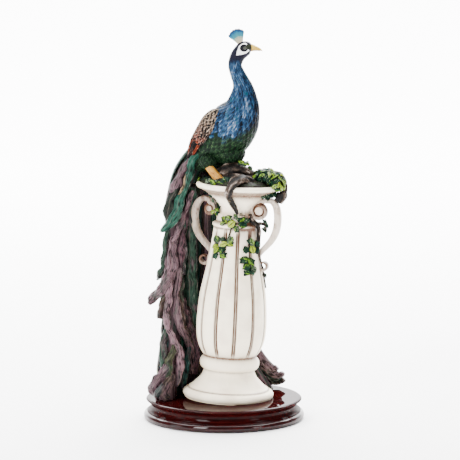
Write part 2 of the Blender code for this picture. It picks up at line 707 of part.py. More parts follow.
def figurine():
    whole = urn()
    for piece in (moss(), *handle(RIGHT_HANDLE_AZIMUTH), *handle(LEFT_HANDLE_AZIMUTH), bird(), train()):
        fuse(whole, piece)
    small = [wing(-1), wing(1), beak(), *crest(), *leg(-1), *leg(1), *branch()]
    small += [feather(places, widths) for places, widths in PLUMES]
    small += sprigs()
    for piece in small:
        # EXACT leaves open edges where so many small pieces cross, and MANIFOLD doesn't.
        fuse(whole, piece, solver="MANIFOLD")
    fuse(whole, below_the_seat(), "DIFFERENCE", "MANIFOLD")
    keep_outer_skin(whole)
    whole.data.materials.clear()
    whole.data.materials.append(material("painted_resin", (0.45, 0.42, 0.38), 0.45))
    whole.data.shade_smooth()
    whole.data.set_sharp_from_angle(angle=math.radians(40))


for left_over in list(bpy.data.objects):
    bpy.data.objects.remove(left_over)
plinth()
figurine()
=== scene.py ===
import math

import bpy
import numpy as np
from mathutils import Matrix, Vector, noise


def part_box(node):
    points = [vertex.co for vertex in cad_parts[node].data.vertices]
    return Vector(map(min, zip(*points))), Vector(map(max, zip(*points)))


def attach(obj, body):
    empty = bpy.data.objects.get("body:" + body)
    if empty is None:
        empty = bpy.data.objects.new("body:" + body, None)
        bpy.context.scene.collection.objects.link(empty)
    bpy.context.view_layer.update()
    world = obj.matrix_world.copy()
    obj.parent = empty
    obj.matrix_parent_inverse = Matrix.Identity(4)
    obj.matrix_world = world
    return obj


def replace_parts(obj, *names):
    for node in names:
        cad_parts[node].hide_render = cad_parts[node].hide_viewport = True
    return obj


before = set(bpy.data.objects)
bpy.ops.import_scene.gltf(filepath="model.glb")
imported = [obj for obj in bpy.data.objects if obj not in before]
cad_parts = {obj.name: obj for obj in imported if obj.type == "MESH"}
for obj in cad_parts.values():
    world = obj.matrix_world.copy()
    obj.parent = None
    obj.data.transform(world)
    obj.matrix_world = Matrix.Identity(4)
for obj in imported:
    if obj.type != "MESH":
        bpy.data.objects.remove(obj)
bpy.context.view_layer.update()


# The plinth is a turned disc of hardwood, stained dark red-brown and varnished to a high gloss.
# Its edge has a thin lip at the top, a cove, and a heavy bead round the foot.
MM = 0.001
plinth_low, plinth_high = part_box("plinth")
PLINTH_TOP = plinth_high[2] / MM
PLINTH_BEAD = (plinth_high[0] - plinth_low[0]) / 2 / MM
PLINTH_LIP = PLINTH_BEAD - 2.8
PLINTH_COVE = PLINTH_BEAD - 6.0
BEAD_ROUNDING = 4.4
COVE_ROUNDING = 6.6
LIP_ROUNDING = 0.9
BEAD_HEIGHT = 9
TOP_GLOSS = 0.30
BEAD_GLOSS = 0.70
COVE_GLOSS = 0.16


def curve_through(points, steps):
    """Points at even steps along a smooth curve through the given ones."""
    points = np.array(points, float)
    ends = np.vstack([2 * points[0] - points[1], points, 2 * points[-1] - points[-2]])
    along = np.linspace(0, len(points) - 1, steps + 1)
    piece = np.minimum(along.astype(int), len(points) - 2)
    t = (along - piece)[:, None]
    a, b, c, d = (ends[piece + k] for k in range(4))
    return 0.5 * (2 * b + (c - a) * t + (2 * a - 5 * b + 4 * c - d) * t**2 + (3 * b - 3 * c + d - a) * t**3)


def bunch(name, shapes, closed=True):
    """One mesh of several skins. Each is a grid, which is rows of points in mm, with its marks.

    A mark is a value or a vector for each point, or a value for each row or for the whole grid."""
    points, faces, marked = [], [], {}
    first = 0
    for grid, marks in shapes:
        grid = np.asarray(grid, float)
        rows, count = grid.shape[:2]
        index = first + np.arange(rows * count).reshape(rows, count)
        low, high = index[:-1], index[1:]
        if closed:
            quads = np.stack([low, np.roll(low, -1, 1), np.roll(high, -1, 1), high], -1)
            faces += [index[0][::-1].tolist(), index[-1].tolist()]
        else:
            quads = np.stack([low[:, :-1], low[:, 1:], high[:, 1:], high[:, :-1]], -1)
        faces += quads.reshape(-1, 4).tolist()
        points.append(grid.reshape(-1, 3))
        for mark, values in marks.items():
            values = np.asarray(values, float)
            values = np.broadcast_to(values, (rows, count, *values.shape[2:]))
            marked.setdefault(mark, []).append(values.reshape(rows * count, -1))
        first += rows * count
    mesh = bpy.data.meshes.new(name)
    mesh.from_pydata((np.concatenate(points) * MM).tolist(), [], faces)
    for mark, values in marked.items():
        values = np.concatenate(values)
        kind, field = ("FLOAT", "value") if values.shape[1] == 1 else ("FLOAT_VECTOR", "vector")
        mesh.attributes.new(mark, kind, "POINT").data.foreach_set(field, values.ravel())
    mesh.update()
    mesh.shade_smooth()
    piece = bpy.data.objects.new(name, mesh)
    bpy.context.scene.collection.objects.link(piece)
    return piece


def skin(name, grid, closed=True, **marks):
    """A mesh through rows of points. Closed rows join up and the ends are capped."""
    return bunch(name, [(grid, marks)], closed)


def stacked(x, y, z):
    """Points from their places on the three axes, each a value or an array."""
    return np.stack(np.broadcast_arrays(x, y, z), -1)


def turned(profile, count):
    """Rows of points round the Z axis for a profile of (radius, height)."""
    turn = np.arange(count) / count * math.tau
    profile = np.asarray(profile, float)
    radius, height = profile[:, :1], profile[:, 1:2]
    return stacked(radius * np.cos(turn), radius * np.sin(turn), height)


def arc(middle, radius, start, end, steps):
    """Points along an arc between two angles in degrees."""
    turn = np.radians(np.linspace(start, end, steps + 1))
    return np.stack([middle[0] + radius * np.cos(turn), middle[1] + radius * np.sin(turn)], -1)


class Wire:
    """A node's output. Arithmetic on it adds Math nodes."""

    def __init__(self, finish, socket):
        self.finish = finish
        self.socket = socket

    def maths(self, operation, *values):
        return self.finish.node("Math", {"operation": operation}, dict(enumerate(values)))

    def __add__(self, other):
        return self.maths("ADD", self, other)

    def __sub__(self, other):
        return self.maths("SUBTRACT", self, other)

    def __rsub__(self, other):
        return self.maths("SUBTRACT", other, self)

    def __mul__(self, other):
        return self.maths("MULTIPLY", self, other)

    __radd__ = __add__
    __rmul__ = __mul__

    def size(self):
        return self.maths("ABSOLUTE", self)

    def step(self, low, high):
        """0 below low, 1 above high and smooth between them."""
        settings = {"interpolation_type": "SMOOTHSTEP"}
        return self.finish.node("MapRange", settings, {"Value": self, "From Min": low, "From Max": high})


class Finish:
    """A paint or varnish: one material, whose nodes all come from node()."""

    def __init__(self, name, **constants):
        self.material = bpy.data.materials.new(name)
        self.material.use_nodes = True
        self.nodes = self.material.node_tree.nodes
        self.links = self.material.node_tree.links
        self.shader = self.nodes["Principled BSDF"]
        for socket, value in constants.items():
            self.shader.inputs[socket.replace("_", " ")].default_value = value

    def node(self, kind, settings=None, sockets=None, output=0):
        made = self.nodes.new("ShaderNode" + kind)
        for setting, value in (settings or {}).items():
            if setting == "stops":
                stops = made.color_ramp.elements
                while len(stops) < len(value):
                    stops.new(0.5)
                for stop, (place, *colour) in zip(stops, value):
                    stop.position = place
                    stop.color = (*colour, 1)
            else:
                setattr(made, setting, value)
        for socket, value in (sockets or {}).items():
            if isinstance(value, Wire):
                self.links.new(value.socket, made.inputs[socket])
            else:
                made.inputs[socket].default_value = value
        return Wire(self, made.outputs[output])

    def ramp(self, value, *stops):
        """A run of colours over a value. Each stop is (place, red, green, blue)."""
        return self.node("ValToRGB", {"stops": stops}, {0: value})

    def mix(self, share, under, over):
        """Two colours, with over laid on under by that share."""
        sockets = {0: share}
        for place, colour in ((6, under), (7, over)):
            sockets[place] = colour if isinstance(colour, Wire) else (*colour, 1)
        return self.node("Mix", {"data_type": "RGBA", "blend_type": "MIX"}, sockets, output=2)

    def mark(self, name, output="Fac"):
        """A value that the mesh holds for each of its points, or a vector with output="Vector"."""
        return self.node("Attribute", {"attribute_name": name}, output=output)

    def place(self, scale=(1, 1, 1)):
        """The point in mm, times a scale on each axis."""
        point = self.node("NewGeometry", output="Position")
        scale = tuple(s / MM for s in scale)
        return self.node("VectorMath", {"operation": "MULTIPLY"}, {0: point, 1: scale})

    def grain(self, place, scale, detail=2.0, roughness=0.5, distortion=0.0):
        sockets = {"Vector": place, "Scale": scale, "Detail": detail}
        return self.node("TexNoise", {}, sockets | {"Roughness": roughness, "Distortion": distortion})

    def feed(self, **wires):
        for socket, wire in wires.items():
            self.links.new(wire.socket, self.shader.inputs[socket.replace("_", " ")])
        return self

    def bump(self, height, strength, distance):
        sockets = {"Height": height, "Strength": strength, "Distance": distance * MM}
        return self.feed(Normal=self.node("Bump", {}, sockets))

    def on(self, *pieces):
        for piece in pieces:
            piece.data.materials.clear()
            piece.data.materials.append(self.material)


bead = arc((PLINTH_BEAD - BEAD_ROUNDING, 4.3), BEAD_ROUNDING, -80, 82, 16)
plinth_profile = [
    (0, 0), (PLINTH_BEAD - 6, 0), (PLINTH_BEAD - 5.2, 0.4), *bead[1:-1], (PLINTH_BEAD - 3.5, 8.7),
    (PLINTH_BEAD - 3.6, 9.3),
    *arc((PLINTH_COVE + 4.6, 15.2), COVE_ROUNDING, 232, 160, 14),
    (PLINTH_COVE - 0.2, 19.6), (PLINTH_LIP - 2.2, 20.8), (PLINTH_LIP - 0.7, 21.3),
    *arc((PLINTH_LIP - LIP_ROUNDING, 22.3), LIP_ROUNDING, -60, 60, 5),
    (PLINTH_LIP - 1.4, PLINTH_TOP - 0.15), (PLINTH_LIP - 2.4, PLINTH_TOP), (PLINTH_LIP - 3.2, PLINTH_TOP),
    (PLINTH_LIP - 14, PLINTH_TOP), (PLINTH_LIP - 50, PLINTH_TOP), (0.5, PLINTH_TOP),
]
up = np.array(plinth_profile)[:, 1:]
gloss = np.select([up > PLINTH_TOP - 0.3, up < BEAD_HEIGHT], [TOP_GLOSS, BEAD_GLOSS], COVE_GLOSS)
plinth = skin("plinth_turned", turned(plinth_profile, 180), gloss=gloss)

varnish = Finish("mahogany_varnish", Coat_Roughness=0.02, Coat_IOR=1.38, Specular_IOR_Level=0.0)
fibres = varnish.grain(varnish.place((0.05, 0.9, 0.9)), 0.35, 5, 0.6, 0.6)
wood = varnish.ramp(fibres, (0.3, 0.004, 0.0006, 0.0006), (0.55, 0.014, 0.0010, 0.0010),
                    (0.8, 0.035, 0.0025, 0.002))
varnish.feed(Base_Color=wood, Roughness=fibres * 0.2 + 0.22, Coat_Weight=varnish.mark("gloss"))
varnish.on(plinth)
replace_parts(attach(plinth, "root"), "plinth")


# The urn is the lower part of the casting, painted ivory and rubbed with a tan wash that stays in hollows.
# Its belly has tall lobes, parted by grooves with a narrow reed in each. It leans a little to the right.
URN_SEAT = Vector((4.4, -3.4, PLINTH_TOP + 0.3))
URN_LEAN = math.radians(2.7)
LEAN_X = math.sin(URN_LEAN)
LEAN_Z = math.cos(URN_LEAN)
URN_RIM = 242.0
URN_LOBES = 11
LOBE_TURN = 5.6
BELLY_RADIUS = 39.5
BELLY_LOW = 47.5
BELLY_HIGH = 193.0
GROOVE_DEPTH = 1.7
GROOVE_WIDTH = 0.72
SHOULDER_DEPTH = 0.75
SHOULDER_WIDTH = 2.6
REED = 1.3
IVORY = (0.99, 0.875, 0.67)
AGED_IVORY = (0.74, 0.61, 0.46)
TAN_WASH_AND_SHADE = (0.078, 0.030, 0.012)
SPECK_BROWN = (0.25, 0.18, 0.12)
# (height, spread, strength) of the rings of wash, in the joints, under the rim and at the lobes' feet.
# The broad ring under the rim's flare, at 232, also paints the shade that falls there.
WASH_AND_SHADE_RINGS = [
    (48.2, 1.6, 0.7), (193.2, 1.0, 0.8), (199.4, 1.6, 0.6), (32.2, 1.1, 0.6), (11.1, 0.7, 0.75),
    (236.0, 1.2, 0.35), (BELLY_LOW + 2, 5, 0.30), (205, 7, 0.40), (232, 5, 0.80),
]

urn_profile = [
    (0.5, 0), (48.8, 0),
    *arc((46.2, 4.9), 4.8, -78, 78, 12),
    (46.6, 9.9), (46.1, 10.7), (45.6, 11.2),
    *curve_through([(44.6, 11.6), (40.5, 14.5), (35.8, 19), (31.3, 24), (28.9, 29)], 14),
    (28.4, 31.4), (28.6, 32.6), (30.2, 33.3),
    *curve_through([(31.4, 34), (32.9, 36.4), (33.4, 39.5), (33, 42.6), (31.6, 45)], 12),
    (30.3, 46.3), (29.5, 47.2), (29.6, 48.2),
    *curve_through([(30.6, 49.3), (33.6, 54), (37, 62), (38.9, 72), (BELLY_RADIUS, 87), (37.8, 113),
                    (34.4, 133), (31.7, 147), (27.9, 170), (25.4, 190)], 70),
    (24.9, 192.9), (25.2, 193.8), (25.8, 194.2),
    *arc((24.7, 196.1), 1.8, -46, 56, 5),
    (24.2, 198.4), *curve_through([(22.9, 199.2), (22.1, 201.4), (22.1, 204.0), (23.0, 206.0)], 8),
    *arc((23.0, 207.6), 1.3, -60, 70, 5),
    *curve_through([(22.2, 209.4), (20.8, 211.0), (20.9, 213.5), (22.4, 217), (25.4, 221), (29.9, 226.4),
                    (35.4, 231.6), (43, 235.6)], 30),
    (44.2, 236.0), (45.2, 236.5),
    *arc((43.8, 239.4), 2.8, -50, 80, 9),
    (42.4, 242.2), (40, 241.0), (38, 238), (20, 236), (0.5, 236),
]


def leaned(points):
    """Points about the urn's own axis, moved to where the urn stands."""
    x, y, z = points[..., 0], points[..., 1], points[..., 2]
    return stacked(URN_SEAT.x + x * LEAN_Z + z * LEAN_X, URN_SEAT.y + y, URN_SEAT.z - x * LEAN_X + z * LEAN_Z)


def on_urn(azimuth, height, out=0.0):
    """A point out from the urn's wall: azimuth in degrees from +X and height above the seat."""
    turn = math.radians(azimuth)
    reach = float(np.interp(height, urn_heights, urn_radii)) + out
    return leaned(np.array([reach * math.cos(turn), reach * math.sin(turn), height]))


def smoothstep(value, low, high):
    t = np.clip((value - low) / (high - low), 0, 1)
    return t * t * (3 - 2 * t)


def near(value, place, spread):
    """1 at a place, fading smoothly on both sides of it."""
    return np.exp(-(((value - place) / spread) ** 2))


half_lobe = math.pi * BELLY_RADIUS / URN_LOBES
steps = np.array([0, 0.5, 0.9, 1.2, 1.5, 1.8, 2.3, 3.0, 4.2, 6.0, 8.4, half_lobe])
offsets = np.concatenate([steps, 2 * half_lobe - steps[-2:0:-1]]) / (2 * half_lobe)
turns = np.concatenate([(k + offsets) / URN_LOBES for k in range(URN_LOBES)]) * math.tau
turns += math.radians(-90 + LOBE_TURN)
profile = np.array(urn_profile, float)
# The urn's outer wall is the profile without the underside and the inside of the mouth.
urn_radii, urn_heights = profile[2:-4].T
radius = np.repeat(profile[:, :1], len(turns), 1)
height = np.repeat(profile[:, 1:], len(turns), 1)
from_groove = np.minimum(offsets, 1 - offsets) * 2 * half_lobe
from_groove = np.tile(from_groove, URN_LOBES) * (radius / BELLY_RADIUS)
in_belly = smoothstep(height, BELLY_LOW + 1, BELLY_LOW + 9)
in_belly = in_belly * (1 - smoothstep(height, BELLY_HIGH - 6, BELLY_HIGH + 0.5))
reed_width = REED * (0.7 + 0.3 * radius / BELLY_RADIUS)
line = near(from_groove, reed_width + 0.2, GROOVE_WIDTH)
shoulder = np.exp(-np.maximum(from_groove - reed_width, 0) / SHOULDER_WIDTH)
radius = radius - in_belly * (GROOVE_DEPTH * line + SHOULDER_DEPTH * shoulder)
low_in_groove = 0.80 + 0.50 * np.exp(-(height - BELLY_LOW) / 30) + 0.25 * np.exp(-(BELLY_HIGH - height) / 20)
reed = 1 - smoothstep(from_groove, reed_width - 0.2, reed_width + 0.5)
by_vine = near(turns, math.radians(-36), 0.46) * 0.95 + near(turns, math.radians(-78), 0.30) * 0.4
by_vine = by_vine * near(height, 200, 20)
urn_wash_and_shade = in_belly * (line * low_in_groove + 0.42 * reed + 0.13 * shoulder) + by_vine
urn_wash_and_shade += sum(strength * near(height, ring, spread) for ring, spread, strength in WASH_AND_SHADE_RINGS)
urn_grid = np.stack([radius * np.cos(turns), radius * np.sin(turns), height], -1)
urn = skin("urn", leaned(urn_grid), wash=np.clip(urn_wash_and_shade, 0, 1))


def ivory_paint(name, ivory=IVORY, blotches=0.0):
    """Ivory paint under tan washes and painted shade, where the mark says. On some pieces washes also lie in
    blotches.
    """
    paint = Finish(name, Specular_IOR_Level=0.3, Coat_Weight=0.1, Coat_Roughness=0.3)
    cloud = paint.grain(paint.place(), 0.045, 3)
    speck = paint.grain(paint.place(), 0.9, 2).step(0.70, 0.76)
    brush = paint.grain(paint.place((1, 1, 0.2)), 0.5, 4, 0.6)
    wash = paint.mark("wash")
    if blotches:
        wash = wash + paint.grain(paint.place(), 0.12, 3).step(0.5, 0.8) * blotches
    held = wash * (brush * 0.9 + 0.5)
    warm = paint.mix(cloud.step(0.42, 0.7) * 0.6, ivory, AGED_IVORY)
    stained_and_shaded = paint.mix(held.step(-0.05, 0.95), warm, TAN_WASH_AND_SHADE)
    spotted = paint.mix(speck * 0.35, stained_and_shaded, SPECK_BROWN)
    paint.feed(Base_Color=spotted, Roughness=cloud * 0.15 + 0.38)
    return paint.bump(brush + cloud * 0.6, 0.25, 0.25)


ivory_paint("urn_ivory_paint").on(urn)
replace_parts(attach(urn, "root"), "figurine")


# Each handle is a strap, cast with the urn, that rolls up in a volute under the rim and a scroll below.
# It is flat-sided with soft edges, and lies in an upright plane through the urn's axis.
HANDLE_DEPTH = 9.4
HANDLE_STEPS = 170
# The handles' ivory is darker and browner than the urn's; the darkness also paints the shade on them.
SHADED_HANDLE_IVORY = (0.74, 0.64, 0.53)
VOLUTE_TURN = 395
SCROLL_TURN = 330
# (out from the axis, height, thickness) of the strap between its two rolls.
HANDLE_STRAP = [
    (34.0, 221.2, 5.4), (40.0, 221.0, 6.4), (44.6, 216.5, 7.4), (46.9, 209.0, 8.0), (47.2, 200.0, 8.2),
    (45.6, 190.5, 8.0), (41.3, 181.0, 7.4), (35.6, 173.5, 6.6), (30.8, 168.0, 6.0), (27.6, 162.5, 5.2),
]
# Above this height the strap can be raised, by its full rise at the top.
STRAP_RISES_FROM = 198
STRAP_RISES_OVER = 23


def unit(vectors):
    return vectors / np.linalg.norm(vectors, axis=-1, keepdims=True)


def sweep(points, halves, sides, broad=None, square=2.0):
    """Rings round a route, each with a half-width along broad and a half-thickness across it."""
    ahead = unit(np.gradient(points, axis=0))
    side = np.array((0, 1, 0) if broad is None else broad, float)
    flats = np.empty_like(points)
    for i, along in enumerate(ahead):
        flats[i] = unit(side - along * side.dot(along))
        if broad is None:
            side = flats[i]
    across = np.cross(ahead, flats)
    turn = (np.arange(sides) + 0.5) / sides * math.tau
    c, s = np.cos(turn), np.sin(turn)
    c = np.sign(c) * np.abs(c) ** (2 / square)
    s = np.sign(s) * np.abs(s) ** (2 / square)
    wide, thick = np.maximum(halves, 0.05).T[..., None, None]
    return points[:, None] + flats[:, None] * c[:, None] * wide + across[:, None] * s[:, None] * thick


def rolled(middle, angles, reach, thick):
    """(out, height, thickness) along a roll of the strap."""
    turn = np.radians(angles)
    return [*np.stack([middle[0] + reach * np.cos(turn), middle[1] + reach * np.sin(turn), thick], -1)]


def handle(name, azimuth, volute, volute_radius, scroll, scroll_radius, stain_and_shade, forward, rise, spread):
    """The strap and the volute's disc. volute and scroll are (out from the axis, height) of their middles.

    The darkening it adds is partly painted shade, most on the left handle, which lies in the train's shade.
    forward brings the top nearer, and rise and spread move the strap up and out."""
    turn = math.radians(azimuth)
    outward = np.array([math.cos(turn), math.sin(turn), 0])
    sideways = np.array([-math.sin(turn), math.cos(turn), 0])
    upward = np.array([0, 0, 1])
    wound = np.linspace(0, 1, 23)
    reach = volute_radius - 2.2 - 4.8 * (1 - wound) ** 2
    route = rolled(volute, 90 + VOLUTE_TURN * (1 - wound), reach, 3.0 + 2.0 * wound)
    for k, (out, height, thick) in enumerate(HANDLE_STRAP):
        bowed = out + spread * math.sin(math.pi * k / (len(HANDLE_STRAP) - 1))
        route.append((bowed, height + rise * max(0, (height - STRAP_RISES_FROM) / STRAP_RISES_OVER), thick))
    wound = np.linspace(0, 1, 18)
    reach = scroll_radius - 2.0 - 2.2 * wound
    route += rolled(scroll, 165 + SCROLL_TURN * wound, reach, 4.4 - 2.4 * wound)
    route = curve_through(route, HANDLE_STEPS)
    step = np.arange(len(route))
    shaded = np.interp(step, [0, 70, 95, 135, HANDLE_STEPS], [0.75, 0.22, 0.15, 0.30, 0.75]) + stain_and_shade
    flat = outward * route[:, :1] + upward * route[:, 1:2]
    flat[:, 1] -= np.interp(step, [0, 55, 105], [forward, forward, 0])
    halves = np.stack([np.full(len(route), HANDLE_DEPTH / 2), route[:, 2] / 2], -1)
    taper = np.array([[0.7], [0.9], [1.0]])
    halves[:3] *= taper
    halves[-3:] *= taper[::-1]
    lean_side = leaned(sideways) - leaned(np.zeros(3))
    strap = skin(name + "_strap", sweep(leaned(flat), halves, 24, lean_side, 3.6), wash=shaded[:, None])
    web = volute_radius - 2.6
    boss = 0.43 * volute_radius
    shape = [(0.3, -5.2), (boss - 1.2, -5.0), (boss - 0.2, -4.2), (boss + 0.2, -1.6), (web, -1.4)]
    shape += [(reach, -out) for reach, out in shape[::-1]]
    disc = turned(shape, 48)
    placed = outward * (disc[..., :1] + volute[0]) + upward * (disc[..., 1:2] + volute[1]) - (0, forward, 0)
    # The web of the disc, between the boss and the rolled rim, is painted dark as the shade in that hollow.
    hollow_shade = np.array([0.1, 0.1, 0.5, 1.1, 1.1, 1.1, 1.1, 0.5, 0.1, 0.1]) + stain_and_shade
    return [strap, skin(name + "_volute", leaned(placed - sideways * disc[..., 2:]), wash=hollow_shade[:, None])]


handles = handle("right_handle", -14, (26.0, 214.2), 11.6, (33.4, 152.0), 7.6, 0.20, 8.5, 4.0, 0.0)
handles += handle("left_handle", 160, (31.5, 211.5), 8.8, (35.4, 154.0), 7.8, 0.42, 2.0, 0.5, 2.4)
for piece in handles:
    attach(piece, "root")
ivory_paint("shaded_handle_ivory_paint", SHADED_HANDLE_IVORY, blotches=0.3).on(*handles)


# The urn's mouth is filled with a mound of earth and moss, cast solid, where the branch and the leaves grow.
# It is painted dark brown and dry-brushed with green.
# (radius, height over the rim) of its rings. The first lies inside the urn's wall and is the only even one.
MOUND_RINGS = [(43.5, -3), (42.5, 1.0), (40, 2.6), (36, 4), (31, 5.6), (25, 7.2), (18, 8.6), (10, 9.4),
               (1, 9.8)]


def rough(point, scale, seed=0.0):
    """A smooth random value that belongs to a place."""
    return noise.noise(Vector(point) * scale + Vector((seed, 0, 0)))


mound = turned([(reach, URN_RIM + rise) for reach, rise in MOUND_RINGS], 72)
for ring in mound[1:]:
    ring[:, 2] += [3.4 * rough(p, 0.13) + 1.8 * rough(p, 0.4) for p in ring]
earth = skin("mound", leaned(mound))
earth_paint = Finish("earth_paint", Specular_IOR_Level=0.1)
clods = earth_paint.grain(earth_paint.place(), 0.35, 5, 0.65)
soil = earth_paint.ramp(clods, (0.3, 0.0015, 0.0015, 0.001), (0.52, 0.008, 0.007, 0.004),
                        (0.66, 0.02, 0.035, 0.012), (0.80, 0.12, 0.12, 0.08))
earth_paint.feed(Base_Color=soil, Roughness=clods * 0.2 + 0.5)
earth_paint.bump(clods, 0.9, 1.6).on(earth)
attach(earth, "root")


# The branch lies across the mouth, and a vine climbs over the front of the rim and down the neck.
# Both are cast with the rest, carved with bark and painted black-brown with a grey dry-brush on top.
# (name, knottiness, seed, radius at each point, points) of each limb.
LIMBS = [
    ("branch", 0.16, 1, [4.6, 6.0, 7.2, 7.8, 8.0, 7.2, 5.6, 4.4],
     [(-7, -3, 264), (-6.5, -6, 271), (-2.5, -11, 277.5), (5.5, -15.5, 281), (15, -17, 281.5),
      (25, -15, 278.5), (34, -12, 272.5), (42, -9, 266)]),
    ("root", 0.16, 3, [4.0, 5.8, 6.6, 6.4, 5.6, 4.6],
     [(-6, -12, 266), (2, -18, 270.5), (12, -21, 273.5), (23, -21, 272), (36, -16, 269.5), (47, -12, 266.5)]),
    ("climbing_vine", 0.24, 5, [3.4, 4.4, 5.5, 5.3, 4.4, 3.8, 3.4, 3.1, 2.7, 1.6],
     [(34, -24, 269), (25, -32, 273), (18.5, -39, 274), (12.5, -45.5, 271.5), (7.6, -49.5, 266),
      (5.4, -49.5, 260), (5.8, -42, 254.5), (8.6, -35, 248), (12, -30.3, 241.5), (14.8, -27.5, 234.5)]),
    ("right_vine", 0.30, 7, [1.6, 1.6, 1.7, 1.9, 2.5, 4.6, 5.8, 3.4],
     [(54, -20, 277), (61, -21, 279.5), (65.5, -21, 275), (68, -21, 267), (68, -21, 260.5),
      (65.5, -21, 255.5), (62, -21, 251.5), (60.5, -21, 246)]),
]


def tapering(points, radii, steps):
    """A smooth line through points, and the radius along it."""
    route = curve_through([(*point, radius) for point, radius in zip(points, radii)], steps)
    return route[:, :3], route[:, 3:]


def walked(points):
    """How far along a line each of its points is."""
    return np.concatenate([[0], np.cumsum(np.linalg.norm(np.diff(points, axis=0), axis=1))])


def knotted(name, knots, seed, radii, points, sides=28, steps=90):
    """A tapering stem with a lumpy, furrowed bark."""
    middle, radius = tapering(points, radii, steps)
    grid = sweep(middle, np.hstack([radius, radius]), sides)
    bark = np.empty(grid.shape[:2])
    for i, s in enumerate(walked(middle)):
        for k, angle in enumerate(np.arange(sides) / sides * math.tau):
            bend = angle + s * 0.03
            lump = rough((math.cos(angle) * 2, math.sin(angle) * 2, s * 0.12), 0.8, seed)
            furrow = abs(rough((math.cos(bend) * 5, math.sin(bend) * 5, s * 0.10), 1.0, seed + 9))
            bark[i, k] = 1.6 * lump + 1.5 * furrow - 0.3
    grid = middle[:, None] + (grid - middle[:, None]) * (1 + knots * bark[..., None])
    return skin(name, grid, bark=bark)


limbs = [knotted(*limb) for limb in LIMBS]
bark_paint = Finish("bark_paint", Specular_IOR_Level=0.12)
bark_flecks = bark_paint.grain(bark_paint.place(), 0.55, 5, 0.7)
bark_lines = bark_paint.grain(bark_paint.place((1, 1, 2.2)), 1.1, 4, 0.65)
ridge = bark_paint.mark("bark") * 0.28 + bark_flecks * 0.55 + bark_lines * 0.70 - 0.16
brushed = bark_paint.ramp(ridge, (0.38, 0.0018, 0.0013, 0.0010), (0.53, 0.015, 0.0095, 0.006),
                          (0.66, 0.062, 0.042, 0.031), (0.84, 0.28, 0.235, 0.20))
bark_paint.feed(Base_Color=brushed, Roughness=bark_flecks * 0.25 + 0.35)
bark_paint.bump(bark_flecks, 0.8, 1.0)

# Thin tendrils join the sprigs of ivy to the vine, on the neck and down the belly.
# They are cast and painted like the branch.
# (name, radius at the root, points) of each tendril.
TENDRILS = [
    ("left_tendril", 1.7, [(-34, 12, 263), (-26, 6, 262.5), (-19, -4, 259.5), (-13, -14, 254),
                           (-9.5, -20, 247), (-8.5, -22.5, 240.5)]),
    ("belly_tendril", 1.0, [on_urn(-96, 200, 1), on_urn(-102, 194, 1.2), on_urn(-106, 187, 1),
                            on_urn(-112, 180, 1)]),
    ("handle_tendril", 3.2, [on_urn(-50, 210, 0), on_urn(-44, 203, 1.5), on_urn(-34, 197, 3),
                             on_urn(-24, 188, 2.5),
                             on_urn(-26, 176, 1.6), on_urn(-34, 166, 1)]),
    ("volute_tendril", 1.9, [on_urn(-36, 199, 2), (41, -17, 222.5), (46, -15, 220), (46.5, -14.5, 214)]),
    ("scroll_tendril", 1.2, [on_urn(-27, 172, 1), on_urn(-24, 160, 1.5), on_urn(-14, 148, 1.5),
                             on_urn(-8, 136, 1),
                             on_urn(-6, 126, 1)]),
]
for name, radius, points in TENDRILS:
    radii = np.linspace(radius, radius * 0.6, len(points))
    limbs.append(knotted(name, 0.20, radius, radii, points, 16, 60))
for piece in limbs:
    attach(piece, "root")
bark_paint.on(*limbs)


# The bird stands across the branch with its breast to the right. Its body, neck and head are one carved form.
# Rows of small feathers are cut into it and painted green below, cobalt on the breast and slate on the head.
PERCH = np.array([5.7, 0.0, 272.0])
BIRD_HEIGHT = 153.0
BIRD_TURN = math.radians(30)
# (right, back, up) of the middle, half-depth and half-width, in shares of the height, from tail to face.
BIRD_STATIONS = [
    (-0.242, 0.131, 0.077, 0.085, 0.124), (-0.176, 0.098, 0.154, 0.128, 0.118),
    (-0.088, 0.046, 0.248, 0.172, 0.150), (0, 0, 0.341, 0.183, 0.165), (0.058, -0.033, 0.431, 0.169, 0.158),
    (0.094, -0.052, 0.516, 0.130, 0.124), (0.103, -0.059, 0.593, 0.099, 0.096),
    (0.100, -0.059, 0.658, 0.075, 0.073), (0.085, -0.059, 0.709, 0.060, 0.059),
    (0.063, -0.059, 0.759, 0.053, 0.052), (0.044, -0.059, 0.814, 0.049, 0.048),
    (0.050, -0.060, 0.861, 0.051, 0.047), (0.072, -0.062, 0.904, 0.054, 0.047),
    (0.108, -0.064, 0.938, 0.057, 0.046), (0.146, -0.065, 0.945, 0.047, 0.038),
    (0.170, -0.065, 0.943, 0.024, 0.020),
]
BIRD_RINGS = 260
BIRD_COLUMNS = 160
FEATHER_ROW = 5.0
FEATHERS_ROUND = 26
# How far one row of feathers reaches over the next, in rows, and how much a feather's tip is rounded.
FEATHER_LAP = 1.85
FEATHER_ROUNDING = 3.4
EYE = np.array([23.2, 417.3])
HEAD_FROM = 395
# Reach in mm of the white patch from the eye, by degrees anticlockwise from the beak.
WHITE_PATCH = [
    (0, 2), (48, 2), (60, 4.8), (75, 5.6), (99, 5.5), (136, 5.7), (164, 6.8), (188, 7.6), (210, 10.2),
    (220, 12.4), (231, 9.4), (262, 6.3), (307, 5.4), (328, 5.7), (340, 4.6), (350, 2), (360, 2),
]
TEAL_GLAZE = (0.003, 0.050, 0.070)
CHALK_WHITE = (0.86, 0.85, 0.84)
MASK_BLACK = (0.004, 0.004, 0.006)
LORE_OLIVE = (0.014, 0.017, 0.011)


def on_bird(right, back, up):
    return PERCH + BIRD_HEIGHT * np.array([right, back, up])


